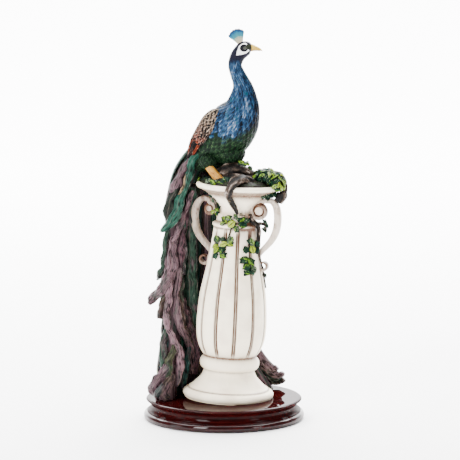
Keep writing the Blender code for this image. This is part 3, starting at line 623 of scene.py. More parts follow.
def shingled(along, around, row, count):
    """Rows of feathers whose rounded tips point down the along axis.

    Gives how near its feather's tip each point is, from 0 to 1, and a number for the feather."""
    def seen(level):
        place = around * count + 0.5 * (level % 2)
        off = place - np.floor(place) - 0.5
        return along / row - level - FEATHER_ROUNDING * off**2, np.floor(place) % count + 31 * level

    level = np.floor(along / row)
    upper, upper_feather = seen(level)
    lower, lower_feather = seen(level - 1)
    depth = np.where(upper >= 0, upper, lower)
    return np.clip(1 - depth / FEATHER_LAP, 0, 1), np.where(upper >= 0, upper_feather, lower_feather)


def shade_of(feather, seed=1.0):
    """A random value from 0 to 1 that is the same all over one feather."""
    return np.modf(np.abs(np.sin(feather * 12.9898 + seed * 78.233)) * 43758.5453)[0]


spine = [(*on_bird(*place), deep * BIRD_HEIGHT, wide * BIRD_HEIGHT) for *place, deep, wide in BIRD_STATIONS]
spine = curve_through(spine, 900)
length = walked(spine[:, :3])
even = np.linspace(0, length[-1], BIRD_RINGS)
spine = np.stack([np.interp(even, length, spine[:, k]) for k in range(5)], -1)
middle = spine[:, :3]
ahead = unit(np.gradient(middle, axis=0))
# The body is turned a little about the upright. The turn runs out up the neck, so the head looks straight on.
up_share = (middle[:, 2] - PERCH[2]) / BIRD_HEIGHT
twist = BIRD_TURN * np.clip((0.9 - up_share) / 0.5, 0, 1)
aside = stacked(np.sin(twist), np.cos(twist), 0)
aside = unit(aside - ahead * np.sum(aside * ahead, axis=1)[:, None])
over = np.cross(ahead, aside)
turn = np.arange(BIRD_COLUMNS) / BIRD_COLUMNS * math.tau
around = turn / math.tau
along = even[:, None]
outward = over[:, None] * np.cos(turn)[:, None] + aside[:, None] * np.sin(turn)[:, None]
body = middle[:, None] + over[:, None] * (np.cos(turn)[:, None] * spine[:, None, 3:4])
body = body + aside[:, None] * (np.sin(turn)[:, None] * spine[:, None, 4:5])
tuft, feather = shingled(along + 0.6 * np.sin(around * 31), around, FEATHER_ROW, FEATHERS_ROUND)
tone = shade_of(feather)
height = body[..., 2]
plumage = 1 - smoothstep(height, 398, 408)
swell = 1.35 * smoothstep(-height, -392, -350) + 0.45
body = body + outward * ((tuft - 0.6) * swell * plumage)[..., None]
# Both ends are rounded off over their last 3 mm.
ends = np.minimum(1, np.minimum(even - even[0], even[-1] - even) / 3.0)
body = middle[:, None] + (body - middle[:, None]) * np.sqrt(np.clip(ends, 0.02, 1))[:, None, None]
from_eye = body[..., [0, 2]] - EYE
angle = np.degrees(np.arctan2(from_eye[..., 1], from_eye[..., 0])) % 360
patch = np.interp(angle, *zip(*WHITE_PATCH)) - np.linalg.norm(from_eye, axis=-1)
mask = 1 - np.linalg.norm((from_eye - (-1.0, 0)) / (4.7, 4.1), axis=-1)
lore = 1 - np.linalg.norm((from_eye - (4.8, 1.2)) / (3.8, 2.7), axis=-1)
blue = smoothstep(height + 13 * (tone - 0.5) - 0.12 * body[..., 0], 316, 324)
near_breast = near(body[..., 0], 26, 8) * near(height, 349, 12)
near_side = near(body[..., 0], 7, 6) * near(height, 333, 9)
nape = 0.40 * near(height, 385, 22) * np.clip(np.cos(math.tau * (around - 0.80)), 0, 1)
# Pale strokes on the breast, side and nape; the last term paints shade along the body's breast and back
# edges.
pale = np.clip(near_breast + near_side + nape + 0.30 * (tone > 0.72), 0, 1) - 1.2 * np.abs(np.cos(turn)) ** 4
lie = stacked(np.cos(turn) * 18, np.sin(turn) * 18, along * 0.22)
bird = skin("bird_body", body, tuft=tuft * plumage, tone=tone, blue=blue, pale=pale, head=1 - plumage,
            lie=lie, patch=np.where(height > HEAD_FROM, patch, -9), mask=mask, lore=lore)

plumage_paint = Finish("plumage_paint", Specular_IOR_Level=0.05)
lain = plumage_paint.mark("lie", "Vector")
strokes = plumage_paint.grain(lain, 0.95, 4, 0.62, 0.35)
specks = plumage_paint.grain(plumage_paint.place(), 0.8, 4, 0.7)
tip = plumage_paint.mark("tuft")
toned = plumage_paint.mark("tone")
# Each feather is painted lighter at its tip and darker at its root, as painted shadow under the row above.
blue_key = strokes * 1.50 - 0.315 + (tip - 0.5) * 0.40 + plumage_paint.mark("pale") * 0.24
blue_key = blue_key + (toned - 0.5) * 0.14
blue_paint = plumage_paint.ramp(blue_key, (0.28, 0.0008, 0.0012, 0.003), (0.42, 0.0025, 0.007, 0.018),
                                (0.58, 0.007, 0.028, 0.068), (0.78, 0.030, 0.070, 0.128),
                                (0.98, 0.18, 0.20, 0.27))
teal_key = plumage_paint.grain(plumage_paint.place(), 0.16, 3).step(0.55, 0.66) * toned.step(0.3, 0.6)
blue_paint = plumage_paint.mix(teal_key * 0.6, blue_paint, TEAL_GLAZE)
green_key = specks * 0.8 + strokes * 0.7 - 0.25 + (tip - 0.5) * 0.22 + (toned - 0.5) * 0.06
green_paint = plumage_paint.ramp(green_key, (0.34, 0.0004, 0.0012, 0.0008), (0.50, 0.0016, 0.006, 0.0026),
                                 (0.63, 0.006, 0.020, 0.008), (0.78, 0.040, 0.070, 0.028),
                                 (0.92, 0.18, 0.22, 0.10))
plumed = plumage_paint.mix(plumage_paint.mark("blue"), green_paint, blue_paint)
head_paint = plumage_paint.ramp(specks, (0.35, 0.0016, 0.0014, 0.004), (0.6, 0.006, 0.0055, 0.014),
                                (0.8, 0.03, 0.03, 0.05))
headed = plumage_paint.mix(plumage_paint.mark("head"), plumed, head_paint)
whitened = plumage_paint.mix(plumage_paint.mark("patch").step(-0.25, 0.25), headed, CHALK_WHITE)
masked = plumage_paint.mix(plumage_paint.mark("mask").step(-0.06, 0.06), whitened, MASK_BLACK)
lored = plumage_paint.mix(plumage_paint.mark("lore").step(-0.1, 0.1), masked, LORE_OLIVE)
plumage_paint.feed(Base_Color=lored, Roughness=strokes * 0.3 + 0.22)
plumage_paint.bump(strokes + tip * 0.8, 0.6, 0.7).on(bird)
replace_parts(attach(bird, "root"), "figurine")

# The two eyes are low domes, cast with the head and painted in gloss.
# An olive ring goes round a black pupil. The ring's paler inner edge is a painted glint.
# (radius, height) of the dome.
EYE_DOME = [(0.02, 1.05), (0.5, 0.98), (0.9, 0.80), (1.15, 0.62), (1.3, 0.56), (1.6, 0.45), (1.9, 0.2),
            (2.15, -0.4), (0.05, -0.8)]
# The head's middle plane, which parts its near side from its far side.
HEAD_MIDDLE = -9.9
eyes = []
disc = turned(EYE_DOME, 40)
for side in (-1, 1):
    seen = np.where((body[..., 1] - HEAD_MIDDLE) * side > 2, np.linalg.norm(from_eye, axis=-1), 99)
    row, column = np.unravel_index(np.argmin(seen), seen.shape)
    depth = body[row, column, 1]
    placed = stacked(EYE[0] + disc[..., 0], depth + side * (disc[..., 2] + 0.1),
                     EYE[1] + disc[..., 1] * -side)
    eyes.append((placed, {"reach": np.linalg.norm(disc[..., :2], axis=-1)}))
eye_beads = bunch("eyes", eyes)
eye_paint = Finish("eye_gloss", Roughness=0.2, Specular_IOR_Level=0.1, Coat_Weight=0.4, Coat_Roughness=0.03)
iris_fleck = eye_paint.grain(eye_paint.place(), 3.0, 3)
iris_and_glint = eye_paint.ramp(eye_paint.mark("reach") * 0.4 + (iris_fleck - 0.5) * 0.06, (0.40, 0.002, 0.002, 0.002),
                      (0.47, 0.10, 0.11, 0.08), (0.55, 0.05, 0.055, 0.035), (0.62, 0.003, 0.004, 0.003))
eye_paint.feed(Base_Color=iris_and_glint).on(eye_beads)
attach(eye_beads, "root")


# The beak is two short horny halves in yellow ochre, the upper one longer and turned down at its tip.
# Each is round on the outside and flatter where the halves meet.
# (ahead of the root, above it, half-width, half-height) along each half.
UPPER_BEAK = [(-1.5, 0.6, 3.0, 4.6), (2, 0.5, 2.8, 4.5), (5, 0.1, 2.3, 3.7), (8.5, -0.6, 1.7, 2.7),
              (11.5, -1.5, 1.1, 1.9), (13.4, -2.6, 0.6, 1.2), (14.2, -3.4, 0.15, 0.3)]
LOWER_BEAK = [(-1.5, -0.6, 2.7, 3.2), (2, -0.6, 2.5, 2.7), (5, -0.8, 2.0, 2.1), (8.5, -1.3, 1.4, 1.5),
              (11, -2.1, 0.8, 0.9), (12.2, -2.6, 0.2, 0.3)]
beak_root = on_bird(0.150, -0.065, 0.945)


def beak_half(name, inner_side, flatness, places):
    """One half. inner_side is 1 where the halves meet on its upper side and -1 on its lower side."""
    turn = np.arange(28) / 28 * math.tau
    grid, rises = [], []
    for reach, up, wide, tall in places:
        rise = np.sin(turn) * tall
        rise = np.where(rise * inner_side > 0, rise * flatness, rise)
        grid.append(beak_root + stacked(reach, np.cos(turn) * wide, up + rise))
        rises.append(rise / max(tall, 0.1))
    return skin(name, grid, rise=rises)


beak_pieces = [beak_half("upper_beak", -1, 0.35, UPPER_BEAK), beak_half("lower_beak", 1, 0.30, LOWER_BEAK)]
horn_paint = Finish("horn_paint", Specular_IOR_Level=0.2, Coat_Weight=0.1, Coat_Roughness=0.2)
horn_noise = horn_paint.grain(horn_paint.place((0.4, 1, 1)), 0.8, 3)
horn_key = horn_paint.mark("rise") * 0.35 + horn_noise
horn = horn_paint.ramp(horn_key, (0.15, 0.10, 0.045, 0.008), (0.45, 0.42, 0.25, 0.03),
                       (0.75, 0.60, 0.40, 0.07), (0.95, 0.70, 0.54, 0.20))
horn_paint.feed(Base_Color=horn, Roughness=horn_noise * 0.2 + 0.25).on(*beak_pieces)
for piece in beak_pieces:
    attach(piece, "root")


# The crest is an upright fan of little plumes, cast with the head and standing in two close rows.
# Bare cream shafts widen into teal paddles with blue tips.
CREST_PLUMES = 17
CREST_HEIGHT = 21.5
CREST_LEAN = -23
CREST_SPREAD = 25
ROW_OFFSET = 0.55
CREST_STEPS = (0.02, 0.25, 0.48, 0.66, 0.8, 0.93, 1.0)


def blade(route, halves, face, thick=0.6, camber=0.25, steps=18, sides=9, crease=0.0):
    """A flat tapering shape along a route, with its face turned towards face: a grid and its marks.

    camber bulges the face in shares of the half-width, and crease sinks a groove along its middle."""
    face = np.broadcast_to(np.asarray(face, float), (len(route), 3))
    smooth = curve_through(np.column_stack([route, halves, face]), steps)
    line, half, look = smooth[:, :3], np.maximum(smooth[:, 3:4], 0.05), smooth[:, 4:]
    along = unit(np.gradient(line, axis=0))
    side = unit(np.cross(along, look))
    look = np.cross(side, along)
    turn = (np.arange(2 * sides) + 0.5) / (2 * sides) * math.tau
    across = np.cos(turn)
    rise = thick * np.sin(turn) * np.minimum(1, half / 1.5)
    rise = rise + (camber * (1 - across**2) - crease * near(across, 0, 0.16) + crease) * half
    grid = line[:, None] + side[:, None] * (across * half)[..., None] + look[:, None] * rise[..., None]
    length = walked(line)[:, None]
    lie = stacked(across * half, np.sign(np.sin(turn)), length)
    return grid, {"across": across, "share": length / length[-1], "lie": lie}


crest_root = on_bird(0.094, -0.064, 0.954)
plumes = []
for k in range(CREST_PLUMES):
    share = k / (CREST_PLUMES - 1) * 2 - 1
    lean = math.radians(CREST_LEAN + CREST_SPREAD * share)
    up = np.array([math.sin(lean), 0, math.cos(lean)])
    shift = np.array([0, ROW_OFFSET * (-1) ** k, 0])
    reach = CREST_HEIGHT * (1 - 0.10 * abs(share + 0.1) ** 2) * (1 - 0.02 * (k % 3))
    route = [crest_root + up * reach * s + shift * min(1, 2 * s) for s in CREST_STEPS]
    plumes.append(blade(route, [0.9, 0.8, 0.85, 1.15, 1.6, 1.7, 0.8], (0, -1, 0), 0.7, 0.2, 26, 6))
crest = bunch("crest", plumes)
crest_paint = Finish("crest_paint", Specular_IOR_Level=0.15)
crest_streak = crest_paint.grain(crest_paint.mark("lie", "Vector"), 0.9, 3)
crest_key = crest_paint.mark("share") + (crest_streak - 0.5) * 0.25
crest_colour = crest_paint.ramp(crest_key, (0.30, 0.34, 0.29, 0.21), (0.50, 0.28, 0.28, 0.20),
                                (0.62, 0.03, 0.16, 0.18), (0.80, 0.004, 0.10, 0.17),
                                (0.90, 0.002, 0.035, 0.10), (1.0, 0.001, 0.006, 0.02))
crest_paint.feed(Base_Color=crest_colour, Roughness=crest_streak * 0.3 + 0.3).on(crest)
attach(crest, "root")


# The folded wings lie on the flanks. Their shoulders carry small barred feathers, buff with black edges.
# Below them come pinkish-brown coverts, rust-coloured flight feathers and a dark tip.
# (right, back, up) of the back's middle line, offset to the wing and half-breadth, in shares of the height.
WING_STATIONS = [
    (-0.022, 0.004, 0.500, 0.085, 0.010), (-0.038, 0.010, 0.478, 0.108, 0.042),
    (-0.066, 0.028, 0.427, 0.128, 0.062), (-0.092, 0.046, 0.375, 0.142, 0.064),
    (-0.119, 0.064, 0.328, 0.147, 0.060), (-0.168, 0.094, 0.258, 0.145, 0.047),
    (-0.216, 0.122, 0.165, 0.125, 0.030), (-0.246, 0.138, 0.110, 0.110, 0.010),
]
WING_THICKNESS = 9.0
WING_COLUMNS = 84
WING_RELIEF = 1.3
# Where along the wing the small feathers give way to the long flight feathers.
FLIGHTS_FROM = 0.58
FLIGHTS_FULL = 0.64
BAR_AND_GAP_SHADE_BLACK = (0.002, 0.0015, 0.0015)
BUFF_BRUSH = (0.50, 0.42, 0.34)
BIRD_SIDEWAYS = np.array([math.sin(BIRD_TURN), math.cos(BIRD_TURN), 0])


def wing(name, side):
    """One wing. side is -1 for the near one and 1 for the far one."""
    out = BIRD_SIDEWAYS * side
    places = []
    for right, back, up, offset, half in WING_STATIONS:
        thick = WING_THICKNESS / 2 * min(1.0, half / 0.06)
        places.append((*(on_bird(right, back, up) + out * offset * BIRD_HEIGHT), half * BIRD_HEIGHT, thick))
    route = curve_through(places, 150)
    middle, half, thick = route[:, :3], route[:, 3:4], route[:, 4:5]
    length = walked(middle)[:, None]
    broad = unit(np.cross(middle[-1] - middle[0], out))
    grid = sweep(middle, route[:, 3:5], WING_COLUMNS, broad, 2.3)
    away = grid - middle[:, None]
    across = (away @ broad) / half
    share = length / length[-1]
    turn = (np.arange(WING_COLUMNS) + 0.5) / WING_COLUMNS
    warp = np.array([[rough(p, 0.14, 2) for p in ring] for ring in grid])
    tuft, feather = shingled(length[-1] - length + 2.2 * warp, turn + 0.03 * warp, 3.9, 17)
    flight = across * 4.5 * side + 1.6 * share
    flights = smoothstep(share, FLIGHTS_FROM, FLIGHTS_FULL)
    tuft = tuft * (1 - flights) + (flight - np.floor(flight)) * flights
    tone = np.where(flights > 0.5, shade_of(np.floor(flight), 5), shade_of(feather, 3))
    relief = (tuft - 0.5) * WING_RELIEF * np.minimum(1, thick / 3)
    lie = stacked(across * half, turn * WING_COLUMNS, length * 0.25)
    return skin(name, grid + unit(away) * relief[..., None], tuft=tuft, tone=tone,
                share=share + (tone - 0.5) * 0.10, lie=lie, across=across)


wings = [wing("near_wing", -1), wing("far_wing", 1)]
wing_paint = Finish("wing_paint", Specular_IOR_Level=0.05)
barbs = wing_paint.grain(wing_paint.mark("lie", "Vector"), 0.9, 4, 0.6)
wing_tuft = wing_paint.mark("tuft")
feather_paint = wing_paint.ramp(
    wing_paint.mark("share"), (0.0, 0.165, 0.128, 0.088), (0.34, 0.14, 0.095, 0.068),
    (0.48, 0.11, 0.055, 0.040), (0.58, 0.10, 0.030, 0.020), (0.64, 0.17, 0.026, 0.008),
    (0.82, 0.15, 0.020, 0.006), (0.90, 0.012, 0.006, 0.008),
)
scaled = wing_tuft + (barbs - 0.5) * 1.1 + (wing_paint.mark("tone") - 0.5) * 0.45
# The black also runs along both long edges of the wing, as painted shade in the gap against the body.
scaled = scaled - wing_paint.mark("across").size().step(0.80, 0.98) * 0.6
barred = wing_paint.mix(scaled.step(0.64, 0.78), BAR_AND_GAP_SHADE_BLACK, feather_paint)
brushed = wing_paint.mix((wing_tuft * 0.5 + barbs).step(0.95, 1.10) * 0.6, barred, BUFF_BRUSH)
wing_paint.feed(Base_Color=brushed, Roughness=barbs * 0.3 + 0.28)
wing_paint.bump(barbs + wing_tuft, 0.6, 0.7).on(*wings)
for piece in wings:
    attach(piece, "root")


# The feet grip the branch: short scaly shanks and four toes each, three to the front and one to the back.
# They are cast with the bird and painted orange-yellow.
SHANK_RADII = [4.3, 4.3, 5.0, 3.4]
TOE_RADII = [2.6, 2.3, 1.9, 0.7]
FRONT_TOE = 13.0
BACK_TOE = 8.0
SCALE_RELIEF = 0.35
shanks = []
thighs = []
for side in (-1, 1):
    out = BIRD_SIDEWAYS * side * BIRD_HEIGHT
    hip = on_bird(-0.12, 0.0, 0.11) + out * 0.085
    heel = on_bird(-0.005, -0.03, -0.005) + out * 0.13
    thighs.append((hip + (1, 0, 2), (9.5, 8, 8)))
    legs = [([hip, (hip + heel) / 2, heel, heel - (0, 0, 2.0)], SHANK_RADII)]
    for spread, reach in ((-32, FRONT_TOE), (4, FRONT_TOE), (40, FRONT_TOE), (170, BACK_TOE)):
        heading = math.radians(spread - 12)
        toward = np.array([math.cos(heading), math.sin(heading), 0])
        toe = [heel - toward, heel + toward * reach * 0.35 + (0, 0, 0.8), heel + toward * reach * 0.7]
        legs.append(([*toe, heel + toward * reach - (0, 0, 3.2)], TOE_RADII))
    for route, radii in legs:
        middle, radius = tapering(route, radii, 46)
        step = walked(middle)[:, None]
        scale = np.abs(np.sin(step * 1.6)) ** 0.5
        radius = radius + SCALE_RELIEF * scale
        shanks.append((sweep(middle, np.hstack([radius, radius]), 20),
                       {"scale": scale, "share": step / step[-1]}))
feet = bunch("feet", shanks)
foot_paint = Finish("foot_paint", Specular_IOR_Level=0.15)
foot_noise = foot_paint.grain(foot_paint.place(), 0.5, 3)
foot_key = foot_noise * 0.7 + foot_paint.mark("scale") * 0.35 - foot_paint.mark("share") * 0.14 + 0.04
foot_colour = foot_paint.ramp(foot_key, (0.25, 0.05, 0.018, 0.004), (0.5, 0.34, 0.14, 0.018),
                              (0.75, 0.50, 0.28, 0.05))
foot_paint.feed(Base_Color=foot_colour, Roughness=foot_noise * 0.2 + 0.35)
foot_paint.bump(foot_noise + foot_paint.mark("scale") * 0.6, 0.7, 0.8).on(feet)
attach(feet, "root")

# A feathered thigh covers the top of each shank, green like the belly.
# Two more tufts fluff out where the belly rests on the branch.
thighs += [((6.0, -3, 300), (17.5, 15, 13.5)), ((-5.5, 3, 285), (8.5, 8, 8.5))]
THIGH_ROW = 4.0


def ball(rings, columns):
    """Rows of points on a ball of radius 1, from its foot to its top."""
    return turned([(math.sin(a), math.cos(a)) for a in np.linspace(math.pi - 0.03, 0.03, rings)], columns)


tufts = []
rolled_round = np.arange(90) / 90
for middle, reach in thighs:
    grid = ball(60, 90)
    fall = reach[2] * (1 - grid[..., 2])
    tuft, feather = shingled(fall, rolled_round, THIGH_ROW, int(reach[0] * 1.3))
    grid = middle + grid * reach * (1 + 0.10 * (tuft - 0.5))[..., None]
    marks = {"tuft": tuft, "tone": shade_of(feather), "blue": 0, "pale": 0, "head": 0}
    marks["lie"] = stacked(rolled_round * 60, 0, fall * 0.3)
    tufts.append((grid, marks | {"patch": -9, "mask": -9, "lore": -9}))
thigh_feathers = bunch("thigh_feathers", tufts)
plumage_paint.on(thigh_feathers)
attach(thigh_feathers, "root")


# The train hangs from the bird's tail as one thick curtain round the back and left of the urn, cast solid.
# Its sheet is carved into long strands, painted plum, dusty rose, bottle green and teal over a dark wash.
TRAIN_FOOT = PLINTH_TOP + 0.3
TRAIN_TOP = 297
# Each row: height, azimuth and reach of the back edge, of the left edge, and half the thickness.
TRAIN_STATIONS = [
    (TRAIN_TOP, 126, 46, 168, 53, 8.0), (284, 124, 48, 171, 58, 10.5), (270, 120, 48, 172, 66, 11.0),
    (250, 112, 47, 173, 74, 10.5), (225, 103, 45, 174.5, 75, 10.5), (200, 97, 43.5, 176, 73, 11.0),
    (170, 91, 44.5, 178, 73.5, 11.5), (150, 89, 47.5, 180, 73, 12.0), (113, 86, 51, 182, 68, 12.5),
    (90, 80, 53, 183.5, 69.5, 12.5), (60, 66, 56, 188, 69, 13.5), (40, 52, 61, 192.5, 70.5, 15.0),
    (TRAIN_FOOT, 42, 65, 197, 71, 15.5),
]
# The paints of the strands and the plumes.
DYES = {
    "plum": (0.056, 0.026, 0.034), "rose": (0.145, 0.084, 0.099), "mauve": (0.082, 0.050, 0.057),
    "bottle": (0.015, 0.033, 0.022), "sea": (0.013, 0.058, 0.039), "teal": (0.010, 0.042, 0.038),
    "olive": (0.034, 0.036, 0.019), "umber": (0.030, 0.019, 0.014), "slate": (0.030, 0.034, 0.033),
    "night": (0.008, 0.012, 0.008), "tan": (0.17, 0.115, 0.065),
}
STRAND_DYES = ["mauve", "bottle", "plum", "rose", "bottle", "mauve", "sea", "plum", "umber", "mauve", "olive",
               "bottle", "rose", "teal"]
STRANDS = 26
STRAND_RELIEF = 1.7
FOLD_RELIEF = 2.6
SHEET_ROWS = 190
SHEET_COLUMNS = 150
# The side towards the urn lies in shade and is painted darker by this share.
INNER_SHADE = 0.5
SHADOW_WASH = (0.0015, 0.0012, 0.0014)
ASH_BRUSH = (0.26, 0.22, 0.22)
GREEN_GLAZE = (0.006, 0.026, 0.018)
train_rows = np.array(TRAIN_STATIONS)[::-1].T


def train_station(height):
    return [np.interp(height, train_rows[0], row) for row in train_rows[1:]]


def train_place(height, across, out=0.0):
    """A point on the curtain's middle sheet. across is 0 at its back edge and 1 at its left edge."""
    back_turn, back_reach, left_turn, left_reach, _ = train_station(height)
    turn = np.radians(back_turn + (left_turn - back_turn) * across)
    reach = back_reach + (left_reach - back_reach) * np.maximum(across, 0) ** 1.2 + out
    lean = (height - URN_SEAT.z) * math.tan(URN_LEAN)
    return stacked(URN_SEAT.x + lean + reach * np.cos(turn), URN_SEAT.y + reach * np.sin(turn), height)


def fullness(across):
    """How thick the curtain is between its two thin edges, as a share of its thickness."""
    return 0.12 + 0.88 * np.sin(np.pi * across) ** 0.45


sheet, ridges, dyes = [], [], []
across = np.concatenate([np.linspace(0, 1, SHEET_COLUMNS), np.linspace(1, 0, SHEET_COLUMNS)])
side = np.repeat([1.0, -1.0], SHEET_COLUMNS)
swell = fullness(across)
for height in np.linspace(TRAIN_FOOT, TRAIN_TOP, SHEET_ROWS):
    sway = np.array([rough((a * 3, height * 0.016, s * 2), 1.0, 4) for a, s in zip(across, side)])
    strand = across * STRANDS + sway * 2.6 + side * 3.3
    within = np.abs(strand - np.floor(strand) - 0.5) * 2
    ridge = np.sqrt(np.clip(1 - within**2, 0, 1))
    fine = np.array([rough((a * 60, height * 0.02, s), 1.0, 8) for a, s in zip(across, side)])
    fold = FOLD_RELIEF * np.sin(across * 23 + height * 0.035 + 1.4 * np.sin(height * 0.05)) * (swell - 0.12)
    out = side * (train_station(height)[4] * swell + STRAND_RELIEF * ridge * (swell > 0.3) + 0.5 * fine)
    sheet.append(train_place(height, across, out + fold * np.where(side > 0, 1, 0.6)))
    ridges.append(ridge * 0.75 + 0.25 * (fine + 0.5))
    picks = (np.floor(strand).astype(int) * 5 + (side > 0) * 3 + int(height * 0.004)) % len(STRAND_DYES)
    dyes.append([np.array(DYES[STRAND_DYES[k]]) * (1 if s > 0 else INNER_SHADE) for k, s in zip(picks, side)])
curtain = skin("train", sheet, ridge=ridges, dye=dyes)

train_paint = Finish("train_paint", Specular_IOR_Level=0.06)
hairs = train_paint.grain(train_paint.place((1, 1, 0.07)), 1.1, 4, 0.65)
drift = train_paint.grain(train_paint.place((1, 1, 0.4)), 0.06, 3)
height_of = train_paint.mark("ridge") * 0.62 + hairs * 0.55
dyed = train_paint.mark("dye", "Vector")
shaded = train_paint.mix(height_of.step(0.30, 0.72), SHADOW_WASH, dyed)
lit = train_paint.mix(height_of.step(0.80, 1.05) * 0.4, shaded, ASH_BRUSH)
greened = train_paint.mix(drift.step(0.50, 0.75) * 0.4, lit, GREEN_GLAZE)
train_paint.feed(Base_Color=greened, Roughness=hairs * 0.25 + 0.28)
train_paint.bump(hairs, 0.6, 0.6).on(curtain)
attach(curtain, "root")

# Single plumes lie over the curtain. Those at the front are placed as the photograph shows them.
# The sides and back carry rows of hanging plumes, many with a round eye of bronze, teal and midnight blue.
# (paint, lift off the curtain, half-widths, places in x and z) of each plume at the front.
FRONT_PLUMES = [
    ("mauve", 2.0, [3, 4.5, 6, 6, 5, 1.5], [(-38, 291), (-43, 283), (-48, 274), (-53, 264), (-55.5, 255),
                                            (-57, 249)]),
    ("night", 3.0, [3, 5, 6, 5, 1.5], [(-52, 262), (-57, 250), (-60.5, 240), (-63, 230), (-62, 220)]),
    ("tan", 8.0, [0.8, 1.6, 1.6, 0.6], [(-41, 276), (-43.5, 267), (-47, 260), (-50.5, 254)]),
    ("rose", 3.0, [2, 3, 3.4, 3.4, 3.4, 3.0],
     [(-35.5, 257), (-39, 248), (-42, 235), (-45.5, 226), (-50.5, 214), (-57.5, 201)]),
    ("plum", 1.5, [2, 3, 3, 3.5, 4, 4.5, 4, 2],
     [(-33, 262), (-36, 248), (-38.5, 235), (-42, 222), (-46, 208), (-48, 190), (-49, 170), (-50, 150)]),
    ("slate", 2.0, [2, 3.6, 4.2, 4.0, 2], [(-43, 235), (-45, 215), (-46, 195), (-46, 175), (-45, 160)]),
    ("mauve", 2.0, [3, 4.5, 5, 5, 3], [(-52, 212), (-56, 200), (-57, 185), (-57, 170), (-58, 158)]),
    ("rose", 4.0, [1.5, 2.2, 2.4, 3, 4.2, 2.5],
     [(-58, 206), (-60, 192), (-60.5, 178), (-62, 166), (-64.5, 158), (-67, 152)]),
    ("bottle", 2.0, [2, 3, 3.2, 3.2, 4.2, 2], [(-63, 212), (-65, 200), (-67, 186), (-68.5, 172), (-71, 164),
                                               (-73, 156)]),
    ("mauve", 7.0, [4, 5.5, 5.5, 5.5, 5, 3],
     [(-60, 162), (-65, 154), (-70, 147), (-76, 139.5), (-81, 134), (-84, 130.5)]),
    ("umber", 1.5, [3, 3.6, 3.8, 3.4], [(-65, 142), (-69, 132), (-70.5, 122), (-70.5, 114)]),
    ("bottle", 0.5, [3, 6, 7.5, 8.5, 7.5, 3], [(-35, 262), (-36, 238), (-37, 200), (-38, 160), (-36, 118),
                                               (-31, 92)]),
    ("rose", 4.0, [3, 4.5, 4.2, 3.8, 3.8, 4.0, 4.4, 4.8, 5.0, 4.4, 2.0],
     [(-59, 166), (-61, 153), (-62, 135), (-64, 122), (-64, 113), (-62, 104), (-56, 92), (-51, 80), (-49, 66),
      (-50, 52), (-52, 38)]),
    ("mauve", 2.5, [2.5, 3.8, 4.2, 4.4, 4.4, 4.2, 3.6, 2.0],
     [(-50, 170), (-52, 150), (-53, 130), (-51, 112), (-45, 96), (-40, 80), (-37, 62), (-37, 46)]),
    ("umber", 3.5, [2, 2.6, 2.8, 2.8, 2.8, 1.4], [(-46, 160), (-47.5, 140), (-48, 120), (-44, 104),
                                                  (-38, 88), (-34, 70)]),
    ("umber", 2.0, [2, 5, 6, 3], [(-40, 125), (-34, 100), (-29, 70), (-28, 42)]),
    ("plum", 2.5, [2, 4.5, 5.5, 3], [(-45, 135), (-39, 104), (-33, 76), (-33, 46)]),
    ("teal", 3.5, [1.5, 4, 4.5, 3], [(-40, 82), (-42, 66), (-44, 50), (-46, 33)]),
    ("olive", 4.0, [2, 4.5, 5, 3], [(-55, 86), (-59, 74), (-62, 62), (-63, 50)]),
    ("bottle", 1.5, [2, 4.5, 5, 3], [(-60, 112), (-65, 96), (-68, 80), (-69, 60)]),
    ("mauve", 4.0, [3, 6, 7, 6, 4], [(-58, 70), (-66, 56), (-75, 44), (-79, 34), (-75, 28)]),
    ("umber", 6.0, [3, 6, 6, 4], [(-57, 54), (-63, 42), (-66, 33), (-61, 27)]),
    ("slate", 8.0, [3, 5, 3.5], [(-66, 42), (-72, 35), (-76, 29)]),
    ("sea", 7.0, [3.5, 4.6, 4.8, 4.6, 5.0, 6.2, 6.0, 6.2, 5.6, 2.8],
     [(-26, 300), (-35.5, 289.5), (-37.5, 278), (-40, 269), (-44, 257), (-49.5, 245), (-52, 235.5),
      (-56.5, 226), (-62, 218.5), (-68.5, 212)]),
]
# These keep their own paint, where a plum and a green glaze drift over the others.
PURE_DYES = ("sea", "tan", "night")
# A fixed seed carves the plumes alike each time.
noise.seed_set(1)
sheet = np.array(sheet)
dyed_plumes = []


def front_of_train(x, z):
    """How far forward the curtain comes near a point seen from the front."""
    close = np.hypot(sheet[..., 0] - x, sheet[..., 2] - z) < 5
    return sheet[..., 1][close].min() if close.any() else 6.0


def pushed(point):
    return noise.noise_vector(point * 0.075) + 0.4 * noise.noise_vector(point * 0.22)


def plume(route, halves, face, dye, thick, camber, eye=0.0, carved=0.0, pure=False):
    """Adds one plume. eye is the radius of its eye, and carved is how far its surface is pushed about."""
    grid, marks = blade(route, halves, face, thick, camber, steps=38, sides=10)
    x, side, run = np.moveaxis(marks["lie"], -1, 0)
    barb = stacked(x * 0.25 + side * 7, side, run * 1.25 - np.abs(x) * 1.1)
    if carved:
        barb = stacked(x * 1.1 + side * 7, side, run * 0.14)
        grid = grid + carved * np.array([[pushed(Vector(p)) for p in ring] for ring in grid])
    barb += (0, 0, 13.7 * len(dyed_plumes))
    centre = run.max() - eye * 1.3
    ring = np.hypot(x, (run - centre) * 0.8) / eye if eye else 9
    dyed = np.broadcast_to(DYES[dye], grid.shape)
    dyed_plumes.append((grid, {"across": marks["across"], "pure": pure, "barb": barb, "ring": ring,
                               "dye": dyed}))


for dye, lift, halves, places in FRONT_PLUMES:
    route = [(x, front_of_train(x, z) - lift, z) for x, z in places]
    plume(route, halves, (-0.35, -1, 0), dye, 2.2, 0.42, carved=2.4, pure=dye in PURE_DYES)

